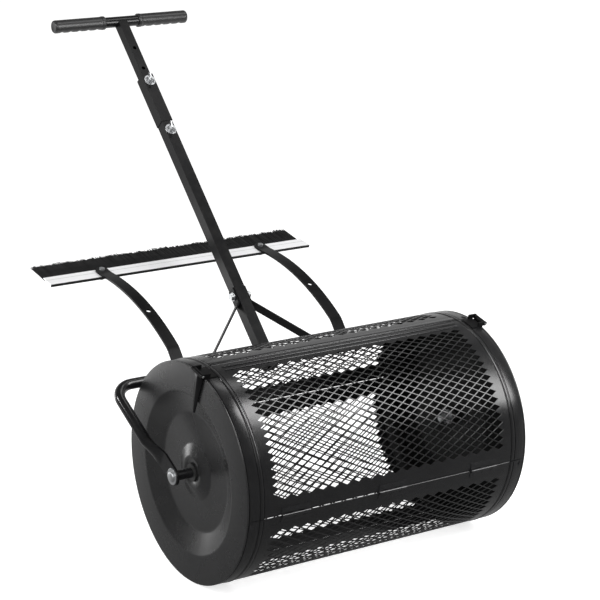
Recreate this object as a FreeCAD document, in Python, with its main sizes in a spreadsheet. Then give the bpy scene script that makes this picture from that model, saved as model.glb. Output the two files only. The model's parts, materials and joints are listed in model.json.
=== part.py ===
import FreeCAD, Part
import math
import os
import re
import Sketcher
from FreeCAD import Placement, Rotation, Vector

# Push-along spreader roller: a mesh drum that is filled through a hinged door and rolls on two stub
# axles in a bent tube frame, with a telescoping T handle and a brush strip on two curved arms behind.
#
# Axes: +X runs along the axle, +Y points to the rear, where the handle is, and +Z is up. The origin is
# the point of the floor straight under the middle of the axle. Places round the drum are given by an
# angle that is 0 at the front, 90 at the top and 180 at the rear.

SIZES = {
    # drum panels
    "drum_radius": 203, "drum_length": 606, "panel_wall": 1.2, "bead_rise": 0.8, "bead_start": 25,
    "bead_width": 9.4, "bead_slope": 1.5, "panel_edge_gap": 1, "seam_gap": 1.5, "seam_angle": -8.6,
    "mesh_end_margin": 49.5, "mesh_seam_margin": 8, "window_pitch": 78, "window_rows": 6,
    "strand_width": 5, "door_clearance": 0.3,
    # end caps
    "cap_wall": 1.5, "flange_depth": 36, "rim_round": 6, "ring_radius": 149, "dish_radius": 109,
    "dish_depth": 18, "hub_base_radius": 52, "hub_top_radius": 30, "hub_rise": 8,
    # corner screws of the fixed panels
    "screw_radius": 2, "screw_head_radius": 4.4, "screw_head_height": 1.2, "screw_inset": 8.6,
    "screw_angle": 2.6, "screw_reach": 3,
    # door hinges
    "hinge_length": 58, "hinge_spacing": 205, "leaf_height": 14, "leaf_wall": 1.2, "leaf_relief": 3.6,
    "knuckle_radius": 2.9, "knuckle_lift": 0.3, "knuckle_count": 5, "knuckle_gap": 0.3,
    "hinge_pin_radius": 1.3,
    "rivet_radius": 1.5, "rivet_head_radius": 3, "rivet_head_height": 0.8, "rivet_pitch": 20,
    "rivet_height": 9,
    # door latches
    "latch_angle": 75.5, "latch_width": 34, "latch_base_wall": 2, "latch_base_start": 2,
    "latch_base_length": 22, "latch_lug_wall": 3, "latch_pivot_out": 5.5, "latch_pivot_rise": 5,
    "latch_lug_radius": 4, "latch_lug_reach": 8, "latch_lug_drop": 3.6, "latch_pin_radius": 2,
    "latch_pin_overhang": 1.5, "latch_drop": 90, "latch_shoulder": 14, "latch_tip_width": 7,
    "latch_plate_wall": 5, "latch_gap": 0.4,
    # axle
    "pin_radius": 7, "pin_inner_length": 24, "pin_head_flat": 22, "pin_head_height": 4,
    "running_fit": 0.06, "fit_gap": 0.05, "bush_wall": 3, "bush_flange_radius": 16,
    "bush_flange_wall": 2, "bush_length": 12, "spacer_wall": 2, "side_play": 0.3,
    "washer_radius": 15, "washer_wall": 2.5, "inner_washer_radius": 14, "clip_wire_radius": 1.5,
    "clip_setback": 7, "clip_leg": 13,
    # tube frame
    "frame_tube_radius": 10, "frame_tube_wall": 1.5, "arm_clearance": 37.7, "arm_angle": 30.2,
    "cross_reach": 228, "corner_radius": 37, "ear_wall": 4, "ear_width": 34, "ear_inset": 10.7,
    "ear_length": 40, "ear_taper": 50,
    # mast, sleeve and sliding handle
    "mast_angle": 46.6, "mast_offset": 11.5, "mast_side": 23.4, "mast_wall": 1.5, "mast_tail": 16,
    "mast_length": 660.5, "mast_play": 0.2, "sleeve_wall": 1.1, "sleeve_start": 552.5, "sleeve_length": 115,
    "slider_start": 410.5, "bar_station": 809.3, "hole_radius": 4, "hole_first": 735.5,
    "hole_pitch": 51, "hole_count": 6, "bar_radius": 11, "bar_wall": 1.5, "bar_length": 301,
    "grip_length": 115, "grip_wall": 3, "groove_count": 5, "groove_pitch": 20,
    "groove_radius": 10, "groove_depth": 1.8,
    # wing screws
    "wing_screw_high": 651.5, "wing_screw_low": 531.5, "wing_shank_radius": 3.9, "wing_hub_radius": 6,
    "wing_hub_height": 7, "wing_span": 13, "wing_rise": 12, "wing_wall": 2.4, "wing_root": 1,
    "wing_washer_radius": 12, "wing_washer_wall": 1.6,
    # braces
    "brace_wall": 3, "brace_width": 20, "brace_top": 161.5, "brace_flat": 30, "brace_bolt_station": 146.2,
    "brace_bend_radius": 8, "brace_angle": 45, "brace_tab": 34, "bolt_radius": 4,
    "bolt_head_flat": 13, "bolt_head_height": 5.5, "bolt_washer_radius": 8.5, "bolt_washer_wall": 1.6,
    "bolt_overhang": 2, "foot_bolt_inset": 16,
    # brush arms
    "brush_arm_x": 185, "brush_arm_width": 25, "brush_arm_wall": 4, "arm_standoff": 15.5,
    "arm_foot_slope": 52, "arm_tail": 10, "arm_foot_length": 63.7, "arm_bend_radius": 40,
    "arm_low_slope": 34, "arm_radius": 498, "arm_high_slope": 3.4, "arm_tip_radius": 80,
    "brush_tilt": 12, "arm_tip_length": 22, "spare_hole_slope": 22.7, "spare_hole_radius": 5,
    "clamp_wall": 3.4, "clamp_lug_height": 20, "clamp_screw_shift": 4, "brush_bolt_radius": 3,
    "brush_bolt_head_radius": 5.5, "brush_bolt_head_height": 3.5, "brush_nut_height": 5,
    "brush_nut_flat": 10, "brush_nut_seat": 1.3,
    # brush
    "channel_length": 600, "channel_offset": -8, "channel_front": 14, "channel_back": 20,
    "channel_front_wall": 5, "channel_height": 12, "channel_sheet": 1.5, "channel_slot": 6.5,
    "bristle_length": 65, "bristle_row_length": 593,
}

# Lengths that follow from the driving sizes.
DERIVED = {
    "half_length": "(drum_length / 2)",
    "panel_radius": "(drum_radius - bead_rise)",
    "panel_inner": "(panel_radius - panel_wall)",
    "flange_radius": "(panel_inner - door_clearance)",
    "seam_gap_angle": "(seam_gap / drum_radius * 180 / pi)",
    "panel_span": "(90 - seam_gap_angle)",
    "hub_depth": "(dish_depth - hub_rise)",
    "bush_radius": "(pin_radius + running_fit + bush_wall)",
    "hinge_axis_radius": "(panel_radius + knuckle_radius + knuckle_lift)",
    "leaf_angle": "(leaf_height / panel_radius * 180 / pi)",
    "ear_outer": "(half_length + arm_clearance - ear_inset + ear_wall / 2)",
    "ear_inner": "(ear_outer - ear_wall)",
    "hub_top_x": "(half_length - hub_depth)",
    "bush_end_x": "(hub_top_x - bush_length)",
    "arm_x": "(half_length + arm_clearance)",
    "sleeve_side": "(mast_side + 2 * sleeve_wall)",
    "slider_side": "(mast_side - 2 * mast_wall - 2 * mast_play)",
    "cross_y": "(cross_reach * cos(arm_angle))",
    "cross_z": "(drum_radius + cross_reach * sin(arm_angle))",
}

# How far a cutting tool stands out past what it cuts, and how many degrees fused plates lap.
OVERRUN = 5
LAP = 0.1

# The outline of one wing of a wing screw, as shares of the wing's rise and of its span.
WING_OUTLINE = [(0, 0.6), (0.6, 1), (1, 0.85), (0.75, 0.45)]

doc = FreeCAD.newDocument("spreader_roller")
sheet = doc.addObject("Spreadsheet::Sheet", "size")
for row, (alias, number) in enumerate(SIZES.items(), start=1):
    sheet.set(f"A{row}", alias)
    sheet.set(f"B{row}", str(number))
    sheet.setAlias(f"B{row}", alias)
doc.recompute()

NODES = []


def bound(formula):
    """Write a formula so that every name in it reads its cell of the spreadsheet."""
    text = str(formula)
    for _ in range(6):
        text = re.sub(r"[a-z_]+", lambda found: DERIVED.get(found.group(), found.group()), text)
    text = re.sub(r"[a-z_]+", lambda f: "size." + f.group() if f.group() in SIZES else f.group(), text)
    return re.sub(r"(sin|cos|tan)\((size\.[a-z_]+)\)", r"\1(\2 * 1deg)", text)


def val(formula):
    """The present value of a formula."""
    return float(sheet.evalExpression(bound(formula)))


def node(label, item):
    """Name an object as one sub-part of the roller."""
    item.Label = label
    NODES.append(item)
    return item


# ---------------------------------------------------------------- local frames

def placed(item, y="0", z="0", angle="0"):
    """Put an object in a frame that is turned about the X direction."""
    item.setExpression("Placement", f"placement(vector(0; {bound(y)}; {bound(z)}); "
                                    f"rotation(vector(1; 0; 0); {bound(angle)}))")
    return item


def on_drum(item, angle):
    """Frame on the axle whose Z direction points out of the drum at the given drum angle."""
    return placed(item, z="drum_radius", angle=f"90 - ({angle})")


def on_arm(item):
    """Frame on the axle whose Y direction runs along the arms of the tube frame."""
    return placed(item, z="drum_radius", angle="arm_angle")


def on_mast(item):
    """Frame on the middle of the cross tube whose Z direction runs up the mast."""
    return placed(item, y="cross_y", z="cross_z", angle="mast_angle - 90")


def mast_placement():
    return Placement(Vector(0, val("cross_y"), val("cross_z")),
                     Rotation(Vector(1, 0, 0), val("mast_angle - 90")))


def drum_placement(angle):
    return Placement(Vector(0, 0, val("drum_radius")), Rotation(Vector(1, 0, 0), 90 - angle))


# ---------------------------------------------------------------- sketches and features

def new_body(name):
    return doc.addObject("PartDesign::Body", name + "_body")


def new_sketch(body, plane, offset="0"):
    """A sketch on one of the body's own planes, moved along the plane's normal."""
    sketch = body.newObject("Sketcher::SketchObject", "sketch")
    support = [item for item in body.Origin.OriginFeatures if item.Role == plane][0]
    sketch.AttachmentSupport = [(support, "")]
    sketch.MapMode = "FlatFace"
    sketch.setExpression("AttachmentOffset", f"placement(vector(0; 0; {bound(offset)}); "
                                             "rotation(vector(0; 0; 1); 0))")
    return sketch


def pin_point(sketch, geometry, end, x, y):
    """Hold one end of a line or arc at a bound place."""
    for kind, formula in (("DistanceX", x), ("DistanceY", y)):
        index = sketch.addConstraint(Sketcher.Constraint(kind, -1, 1, geometry, end, val(formula)))
        sketch.setExpression(f"Constraints[{index}]", bound(formula))


def outline(sketch, corners):
    """Closed outline through bound corners. A corner with a third value starts an arc of that radius,
    which turns left if the fourth value is 1 and right if it is -1."""
    count = len(corners)
    for index, corner in enumerate(corners):
        following = corners[(index + 1) % count]
        start = Vector(val(corner[0]), val(corner[1]), 0)
        end = Vector(val(following[0]), val(following[1]), 0)
        if len(corner) == 2:
            line = sketch.addGeometry(Part.LineSegment(start, end), False)
            pin_point(sketch, line, 1, corner[0], corner[1])
            pin_point(sketch, line, 2, following[0], following[1])
            continue
        radius, turn = val(corner[2]), corner[3]
        chord = end - start
        rise = math.sqrt(max(radius ** 2 - chord.Length ** 2 / 4, 0))
        centre = start + chord / 2 + Vector(-chord.y, chord.x, 0).normalize() * rise * turn
        angles = [math.atan2(p.y - centre.y, p.x - centre.x) for p in (start, end)]
        if turn < 0:
            angles.reverse()
        circle = Part.Circle(centre, Vector(0, 0, 1), radius)
        arc = sketch.addGeometry(Part.ArcOfCircle(circle, angles[0], angles[1]), False)
        first, last = (1, 2) if turn > 0 else (2, 1)
        pin_point(sketch, arc, first, corner[0], corner[1])
        pin_point(sketch, arc, last, following[0], following[1])
        index = sketch.addConstraint(Sketcher.Constraint("Radius", arc, radius))
        sketch.setExpression(f"Constraints[{index}]", bound(corner[2]))
    return sketch


def circle(sketch, x, y, radius):
    """A circle at a bound place."""
    ring = sketch.addGeometry(Part.Circle(Vector(val(x), val(y), 0), Vector(0, 0, 1), val(radius)), False)
    pin_point(sketch, ring, 3, x, y)
    index = sketch.addConstraint(Sketcher.Constraint("Radius", ring, val(radius)))
    sketch.setExpression(f"Constraints[{index}]", bound(radius))
    return sketch


def square(sketch, side, y="0"):
    half = f"({side}) / 2"
    return outline(sketch, [(f"-{half}", f"{y} - {half}"), (half, f"{y} - {half}"),
                            (half, f"{y} + {half}"), (f"-{half}", f"{y} + {half}")])


def revolve(body, sketch, angle="360"):
    """Turn a sketch about the body's X direction, to both sides alike if it is no full turn."""
    feature = body.newObject("PartDesign::Revolution", "revolution")
    feature.Profile = sketch
    feature.ReferenceAxis = (sketch, ["H_Axis"])
    feature.Midplane = str(angle) != "360"
    feature.setExpression("Angle", bound(angle))
    return feature


def pad(body, sketch, length, both_sides=False, reverse=False):
    feature = body.newObject("PartDesign::Pad", "pad")
    feature.Profile = sketch
    feature.Midplane = both_sides
    feature.Reversed = reverse
    feature.setExpression("Length", bound(length))
    return feature


def feature_of(shape, name="shape"):
    item = doc.addObject("Part::Feature", name)
    item.Shape = shape
    return item


def cut(base, tools, name="cut"):
    """The base with every tool taken out of it."""
    item = doc.addObject("Part::Cut", name)
    item.Base = base
    item.Tool = feature_of(Part.makeCompound(tools), "tools")
    return item


def group(shapes):
    """Several loose solids that make one sub-part."""
    return feature_of(Part.makeCompound(shapes), "group")


# ---------------------------------------------------------------- shapes used several times

def radial_rod(x, angle, radius, start, end):
    """A round rod that points out of the drum at the given place, between two distances from the axle."""
    rod = Part.makeCylinder(radius, end - start, Vector(x, 0, start))
    rod.Placement = drum_placement(angle).multiply(rod.Placement)
    return rod


def sector(x_start, x_end, inner, outer, angle_start, angle_end):
    """A curved plate round the axle, between two drum angles."""
    corners = [Vector(x, 0, r) for x, r in
               ((x_start, inner), (x_end, inner), (x_end, outer), (x_start, outer), (x_start, inner))]
    plate = Part.Face(Part.makePolygon(corners)).revolve(Vector(), Vector(1, 0, 0), angle_end - angle_start)
    plate.Placement = drum_placement(angle_end).multiply(plate.Placement)
    return plate


def along(direction, base, radius, length):
    return Part.makeCylinder(radius, length, base, direction)


def hexagon(direction, base, flat, length):
    """A hexagonal prism, such as a bolt head or a nut."""
    corner = flat / math.sqrt(3)
    points = [Vector(corner * math.cos(math.radians(60 * k)), corner * math.sin(math.radians(60 * k)), 0)
              for k in range(7)]
    prism = Part.Face(Part.makePolygon(points)).extrude(Vector(0, 0, length))
    prism.Placement = Placement(base, Rotation(Vector(0, 0, 1), direction))
    return prism


def bent_strip(start, heading, steps, wall, width):
    """A flat bar that follows straight and bent steps in the YZ plane. A step is ("run", length) or
    ("bend", radius of the middle, turn in degrees). Returns the bar, centred on X, and its path's end."""
    point = Vector(0, *start)
    pieces = []
    for step in steps:
        ahead = Vector(0, math.cos(math.radians(heading)), math.sin(math.radians(heading)))
        left = Vector(0, -ahead.z, ahead.y)
        if step[0] == "run":
            base = [point - left * wall / 2, point + left * wall / 2]
            face = Part.Face(Part.makePolygon([p + Vector(-width / 2, 0, 0) for p in base]
                                              + [p + Vector(width / 2, 0, 0) for p in base[::-1]]
                                              + [base[0] + Vector(-width / 2, 0, 0)]))
            pieces.append(face.extrude(ahead * step[1]))
            point = point + ahead * step[1]
        else:
            _, radius, turn = step
            side = 1 if turn > 0 else -1
            centre = point + left * radius * side
            base = [point - left * wall / 2, point + left * wall / 2]
            face = Part.Face(Part.makePolygon([p + Vector(-width / 2, 0, 0) for p in base]
                                              + [p + Vector(width / 2, 0, 0) for p in base[::-1]]
                                              + [base[0] + Vector(-width / 2, 0, 0)]))
            pieces.append(face.revolve(centre, Vector(1, 0, 0), turn))
            point = Placement(Vector(), Rotation(Vector(1, 0, 0), turn), centre).multVec(point)
            heading = heading + turn
    bar = pieces[0].fuse(pieces[1:]).removeSplitter()
    return bar, point, heading


# ---------------------------------------------------------------- drum

SIDES = {"left": -1, "right": 1}
SEAMS = [val("seam_angle") + 90 * k for k in range(4)]
PANELS = {"drum_door": 0, "panel_rear_upper": 1, "panel_rear_lower": 2, "panel_front_lower": 3}


def screw_places():
    """Screws hold the corners of the three fixed panels; the door has none."""
    places = []
    for side in SIDES.values():
        x = side * val("half_length - screw_inset")
        for number, seam in enumerate(SEAMS):
            if number != 1:
                places.append((x, seam - val("screw_angle")))
            if number != 0:
                places.append((x, seam + val("screw_angle")))
    return places


def hinge_centres():
    return [k * val("hinge_spacing") for k in (-1, 0, 1)]


def rivet_places(side):
    """Rivets of the hinge leaves: side -1 is the fixed panel's, side 1 the door's."""
    turn = math.degrees(val("rivet_height / panel_radius"))
    return [(centre + k * val("rivet_pitch"), val("seam_angle") + side * turn)
            for centre in hinge_centres() for k in (-1, 0, 1)]


def window_tools(centre_angle):
    """Staggered rows of diamond windows, each cut straight through along its own row's radius."""
    half_x = val("window_pitch") / 2
    mesh_span = val("panel_span - 2 * mesh_seam_margin")
    rows = int(val("window_rows"))
    step = mesh_span / (2 * rows)
    half_y = math.radians(step) * val("panel_radius")
    shrink = 1 - val("strand_width") * math.hypot(half_x, half_y) / (2 * half_x * half_y)
    mesh_length = val("drum_length - 2 * mesh_end_margin")
    columns = int(mesh_length // (2 * half_x))
    depth = Vector(0, 0, val("panel_wall") + 2 * OVERRUN)
    tools = []
    for row in range(1, 2 * rows):
        count = columns if row % 2 else columns - 1
        frame = drum_placement(centre_angle - mesh_span / 2 + row * step)
        for column in range(count):
            middle = Vector((column - (count - 1) / 2) * 2 * half_x, 0, val("panel_inner") - OVERRUN)
            corners = [middle + Vector(half_x * shrink, 0, 0), middle + Vector(0, half_y * shrink, 0),
                       middle - Vector(half_x * shrink, 0, 0), middle - Vector(0, half_y * shrink, 0)]
            window = Part.Face(Part.makePolygon(corners + corners[:1])).extrude(depth)
            window.Placement = frame
            tools.append(window)
    return tools


def make_panel(label, number):
    """A quarter of the drum's wall, rolled from sheet, with a raised bead round each end."""
    body = new_body(label)
    profile = []
    stations = ["panel_edge_gap", "bead_start", "bead_start + bead_slope",
                "bead_start + bead_width - bead_slope", "bead_start + bead_width"]
    radii = ["panel_radius", "panel_radius", "drum_radius", "drum_radius", "panel_radius"]
    profile += [(f"-half_length + {x}", r) for x, r in zip(stations, radii)]
    profile += [(f"half_length - ({x})", r) for x, r in reversed(list(zip(stations, radii)))]
    profile += [(x, f"{r} - panel_wall") for x, r in reversed(profile)]
    revolve(body, outline(new_sketch(body, "XZ_Plane"), profile), "panel_span")
    centre = f"seam_angle + 45 + 90 * {number}"
    on_drum(body, centre)
    tools = window_tools(val(centre))
    hole = val("screw_radius + fit_gap")
    rivet_hole = val("rivet_radius + fit_gap")
    inner, outer = val("panel_inner") - OVERRUN, val("panel_radius") + OVERRUN
    tools += [radial_rod(x, angle, hole, inner, outer) for x, angle in screw_places()]
    for side, owner in ((-1, 3), (1, 0)):
        if number == owner:
            tools += [radial_rod(x, angle, rivet_hole, inner, outer) for x, angle in rivet_places(side)]
    return node(label, cut(body, tools, label))


def make_end_cap(name, side):
    """A pressed disc: flange, face ring, sunk cone and floor, and a raised hub."""
    label = f"end_cap_{name}"
    body = new_body(label)
    outer = [("flange_depth", "flange_radius"), ("rim_round", "flange_radius", "rim_round"),
             ("0", "flange_radius - rim_round"), ("0", "ring_radius"), ("dish_depth", "dish_radius"),
             ("dish_depth", "hub_base_radius"), ("hub_depth", "hub_top_radius"),
             ("hub_depth", "bush_radius + fit_gap")]
    inner = [("hub_depth + cap_wall", "bush_radius + fit_gap"),
             ("hub_depth + cap_wall", "hub_top_radius"), ("dish_depth + cap_wall", "hub_base_radius"),
             ("dish_depth + cap_wall", "dish_radius"), ("cap_wall", "ring_radius"),
             ("cap_wall", "flange_radius - rim_round", "rim_round - cap_wall"),
             ("rim_round", "flange_radius - cap_wall"), ("flange_depth", "flange_radius - cap_wall")]
    corners = []
    for depth, radius, *arc in outer:
        turn = [arc[0], -side] if arc else []
        corners.append((f"{side} * (half_length - ({depth}))", radius, *turn))
    for depth, radius, *arc in inner:
        turn = [arc[0], side] if arc else []
        corners.append((f"{side} * (half_length - ({depth}))", radius, *turn))
    revolve(body, outline(new_sketch(body, "XZ_Plane"), corners))
    placed(body, z="drum_radius")
    hole = val("screw_radius + fit_gap")
    reach = (val("flange_radius - cap_wall") - OVERRUN, val("panel_radius"))
    tools = [radial_rod(x, angle, hole, *reach) for x, angle in screw_places() if x * side > 0]
    return node(label, cut(body, tools, label))


def make_panel_screws():
    """Round-headed screws through the fixed panels into the end caps' flanges."""
    start = val("flange_radius - cap_wall - screw_reach")
    seat = val("panel_radius")
    screws = []
    for x, angle in screw_places():
        shank = radial_rod(x, angle, val("screw_radius"), start, seat)
        head = radial_rod(x, angle, val("screw_head_radius"), seat, seat + val("screw_head_height"))
        screws.append(shank.fuse(head))
    return node("panel_screws", group(screws))


def hinge_leaf(centre, side):
    """One leaf: a curved plate on the panel, and the knuckles that it carries round the pin."""
    seam = val("seam_angle")
    inner = val("panel_radius")
    outer = inner + val("leaf_wall")
    half = val("hinge_length") / 2
    relief = math.degrees(val("leaf_relief / panel_radius"))
    reach = val("leaf_angle")
    ends = sorted((seam + side * relief, seam + side * reach))
    leaf = sector(centre - half, centre + half, inner, outer, *ends)
    count = int(val("knuckle_count"))
    pitch = 2 * half / count
    gap = val("knuckle_gap") / 2
    axis_radius = val("hinge_axis_radius")
    for number in range(count):
        if (number % 2 == 0) != (side > 0):
            continue
        start = centre - half + number * pitch + (gap if number else 0)
        end = centre - half + (number + 1) * pitch - (gap if number < count - 1 else 0)
        web = sector(start, end, inner, outer, *sorted((seam, seam + side * (relief + LAP))))
        barrel = along(Vector(1, 0, 0), Vector(start, 0, axis_radius), val("knuckle_radius"), end - start)
        barrel.Placement = drum_placement(seam).multiply(barrel.Placement)
        leaf = leaf.fuse([web, barrel])
    hole = val("rivet_radius + fit_gap")
    bore = hinge_rod(centre, val("hinge_pin_radius + running_fit"), val("hinge_length") + 2 * OVERRUN)
    holes = [radial_rod(x, angle, hole, inner - OVERRUN, outer + OVERRUN) for x, angle in rivet_places(side)]
    return leaf.cut([bore] + holes).removeSplitter()


def hinge_rod(centre, radius, length):
    """A rod along the hinges' common axis."""
    rod = along(Vector(1, 0, 0), Vector(centre - length / 2, 0, val("hinge_axis_radius")), radius, length)
    rod.Placement = drum_placement(val("seam_angle")).multiply(rod.Placement)
    return rod


def make_hinges():
    """Three butt hinges along the door's lower edge."""
    node("hinge_leaves_panel", group([hinge_leaf(x, -1) for x in hinge_centres()]))
    node("hinge_leaves_door", group([hinge_leaf(x, 1) for x in hinge_centres()]))
    radius, length = val("hinge_pin_radius"), val("hinge_length")
    node("hinge_pins", group([hinge_rod(x, radius, length) for x in hinge_centres()]))
    seat = val("panel_radius + leaf_wall")
    for label, side in (("hinge_rivets_panel", -1), ("hinge_rivets_door", 1)):
        rivets = []
        for x, angle in rivet_places(side):
            shank = radial_rod(x, angle, val("rivet_radius"), val("panel_inner"), seat)
            head = radial_rod(x, angle, val("rivet_head_radius"), seat, seat + val("rivet_head_height"))
            rivets.append(shank.fuse(head))
        node(label, group(rivets))


def latch_box(side, out_start, out_end, y_start, y_end, rise_start, rise_end):
    """A box in the latch's frame: outwards past the end cap's face, along the rim, and up from the panel."""
    low = min(side * out_start, side * out_end) + side * val("half_length")
    return Part.makeBox(abs(out_end - out_start), y_end - y_start, rise_end - rise_start,
                        Vector(low, y_start, val("panel_radius") + rise_start))


def latch_rod(side, radius, y_start, y_end):
    """A rod along the latch's pivot."""
    centre = Vector(side * val("half_length + latch_pivot_out"), y_start,
                    val("panel_radius + latch_pivot_rise"))
    return along(Vector(0, 1, 0), centre, radius, y_end - y_start)


def make_latch(name, side):
    """A side latch: bracket on the door's rim, pin, and a tapered lever that hangs over the end cap."""
    frame = drum_placement(val("latch_angle"))
    half = val("latch_width") / 2
    lug = val("latch_lug_wall")
    half_angle = math.degrees(half / val("panel_radius"))
    start = val("latch_base_start")
    inner = val("panel_radius")
    ends = sorted((side * val("half_length - panel_edge_gap"),
                   side * (val("half_length") - start - val("latch_base_length"))))
    base = sector(ends[0], ends[1], inner, inner + val("latch_base_wall"),
                  val("latch_angle") - half_angle, val("latch_angle") + half_angle)
    parts = []
    pivot_rise = val("latch_pivot_rise")
    for y in (-half, half - lug):
        arm = latch_box(side, -start - val("latch_lug_reach"), val("latch_pivot_out"), y, y + lug,
                        pivot_rise - val("latch_lug_drop"), pivot_rise + val("latch_lug_radius"))
        eye = latch_rod(side, val("latch_lug_radius"), y, y + lug)
        parts += [arm, eye]
    bore = latch_rod(side, val("latch_pin_radius + fit_gap"), -half - OVERRUN, half + OVERRUN)
    for part in parts + [bore]:
        part.Placement = frame.multiply(part.Placement)
    bracket = base.fuse(parts).cut(bore).removeSplitter()
    node(f"latch_bracket_{name}", feature_of(bracket))

    pin_half = half + val("latch_pin_overhang")
    pin = latch_rod(side, val("latch_pin_radius"), -pin_half, pin_half)
    pin.Placement = frame.multiply(pin.Placement)
    node(f"latch_pin_{name}", feature_of(pin))

    gap = val("latch_gap")
    width = half - lug - gap
    barrel = latch_rod(side, val("latch_lug_radius"), -width, width)
    out_face = side * val("half_length + latch_gap")
    top = val("panel_radius + latch_pivot_rise")
    tip = val("latch_tip_width") / 2
    shoulder, low = top - val("latch_shoulder"), top - val("latch_drop")
    corners = [Vector(out_face, -width, top), Vector(out_face, width, top),
               Vector(out_face, width, shoulder), Vector(out_face, tip, low),
               Vector(out_face, -tip, low), Vector(out_face, -width, shoulder)]
    plate = Part.Face(Part.makePolygon(corners + corners[:1]))
    plate = plate.extrude(Vector(side * val("latch_plate_wall"), 0, 0))
    lever = barrel.fuse(plate).cut(latch_rod(side, val("latch_pin_radius + running_fit"), -half, half))
    lever.Placement = frame.multiply(lever.Placement)
    node(f"latch_lever_{name}", feature_of(lever.removeSplitter()))


# ---------------------------------------------------------------- axle

def make_axle(name, side):
    """Everything on one stub axle, from the bolt head outside the ear to the clip inside the drum."""
    def at(formula):
        return f"{side} * ({formula})"

    bush = new_body(f"hub_bush_{name}")
    outline(new_sketch(bush, "XZ_Plane"), [
        (at("hub_top_x + bush_flange_wall"), "pin_radius + running_fit"),
        (at("hub_top_x + bush_flange_wall"), "bush_flange_radius"),
        (at("hub_top_x"), "bush_flange_radius"), (at("hub_top_x"), "bush_radius"),
        (at("bush_end_x"), "bush_radius"), (at("bush_end_x"), "pin_radius + running_fit")])
    revolve(bush, bush.Group[-1])
    node(f"hub_bush_{name}", placed(bush, z="drum_radius"))

    spacer = new_body(f"axle_spacer_{name}")
    outline(new_sketch(spacer, "XZ_Plane"), [
        (at("hub_top_x + bush_flange_wall + side_play"), "pin_radius + fit_gap"),
        (at("hub_top_x + bush_flange_wall + side_play"), "pin_radius + fit_gap + spacer_wall"),
        (at("ear_inner"), "pin_radius + fit_gap + spacer_wall"), (at("ear_inner"), "pin_radius + fit_gap")])
    revolve(spacer, spacer.Group[-1])
    node(f"axle_spacer_{name}", placed(spacer, z="drum_radius"))

    seat = val("ear_outer + washer_wall")
    inner_end = val("bush_end_x - pin_inner_length")
    shank = along(Vector(side, 0, 0), Vector(side * inner_end, 0, 0), val("pin_radius"), seat - inner_end)
    head = hexagon(Vector(side, 0, 0), Vector(side * seat, 0, 0), val("pin_head_flat"),
                   val("pin_head_height"))
    clip_x = side * (val("bush_end_x - side_play") - val("washer_wall") - val("clip_setback"))
    wire = val("clip_wire_radius")
    hole = along(Vector(0, 0, 1), Vector(clip_x, 0, -val("pin_radius") - OVERRUN), wire + val("fit_gap"),
                 2 * (val("pin_radius") + OVERRUN))
    pin = shank.fuse(head).removeSplitter().cut(hole)
    axle_place = Placement(Vector(0, 0, val("drum_radius")), Rotation())
    pin.Placement = axle_place
    node(f"axle_pin_{name}", feature_of(pin))
    return clip_x, axle_place


def make_axle_groups(clips):
    """Washers at both ends of each stub axle, and the hairpin clips that keep the drum on."""
    outer, inner, wires = [], [], []
    bore = val("pin_radius + fit_gap")
    wall = val("washer_wall")
    for side, (clip_x, place) in clips.items():
        for shapes, start, radius in ((outer, val("ear_outer"), val("washer_radius")),
                                      (inner, val("bush_end_x - side_play") - wall,
                                       val("inner_washer_radius"))):
            base, way = Vector(side * start, 0, 0), Vector(side, 0, 0)
            washer = along(way, base, radius, wall).cut(along(way, base, bore, wall))
            washer.Placement = place
            shapes.append(washer)
        leg, wire = val("clip_leg"), val("clip_wire_radius")
        bend = val("pin_radius + clip_wire_radius") / 2
        low, high = Vector(clip_x, 0, -leg), Vector(clip_x, 0, leg)
        crown = Vector(clip_x, bend, leg + bend)
        back, tail = Vector(clip_x, 2 * bend, leg), Vector(clip_x, 2 * bend, -leg / 2)
        path = Part.Wire([Part.LineSegment(low, high).toShape(), Part.Arc(high, crown, back).toShape(),
                          Part.LineSegment(back, tail).toShape()])
        ring = Part.Wire([Part.Circle(low, Vector(0, 0, 1), wire).toShape()])
        clip = path.makePipeShell([ring], True, False)
        clip.Placement = place
        wires.append(clip)
    node("axle_washers_outer", group(outer))
    node("axle_washers_inner", group(inner))
    node("hairpin_clips", group(wires))


# ---------------------------------------------------------------- tube frame

def cross_bolt_places():
    """Places along the cross tube of the bolts that point up the mast through the braces' feet."""
    end = val("mast_side / 2 + brace_wall / 2") + brace_reach() - val("foot_bolt_inset")
    return [-end, end]


def brace_reach():
    """How far a brace runs out along X, from the middle of its upper flat to the end of its foot."""
    bend, angle = val("brace_bend_radius"), math.radians(val("brace_angle"))
    return bend * (1 - math.cos(angle)) + brace_slant() * math.sin(angle) + bend * math.cos(angle) \
        + val("brace_tab")


def brace_slant():
    """Length of the brace's slanting run, so that its foot lies on the cross tube."""
    drop = val("brace_top - frame_tube_radius - brace_wall / 2 - brace_flat - brace_bend_radius")
    return drop / math.cos(math.radians(val("brace_angle")))


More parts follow.
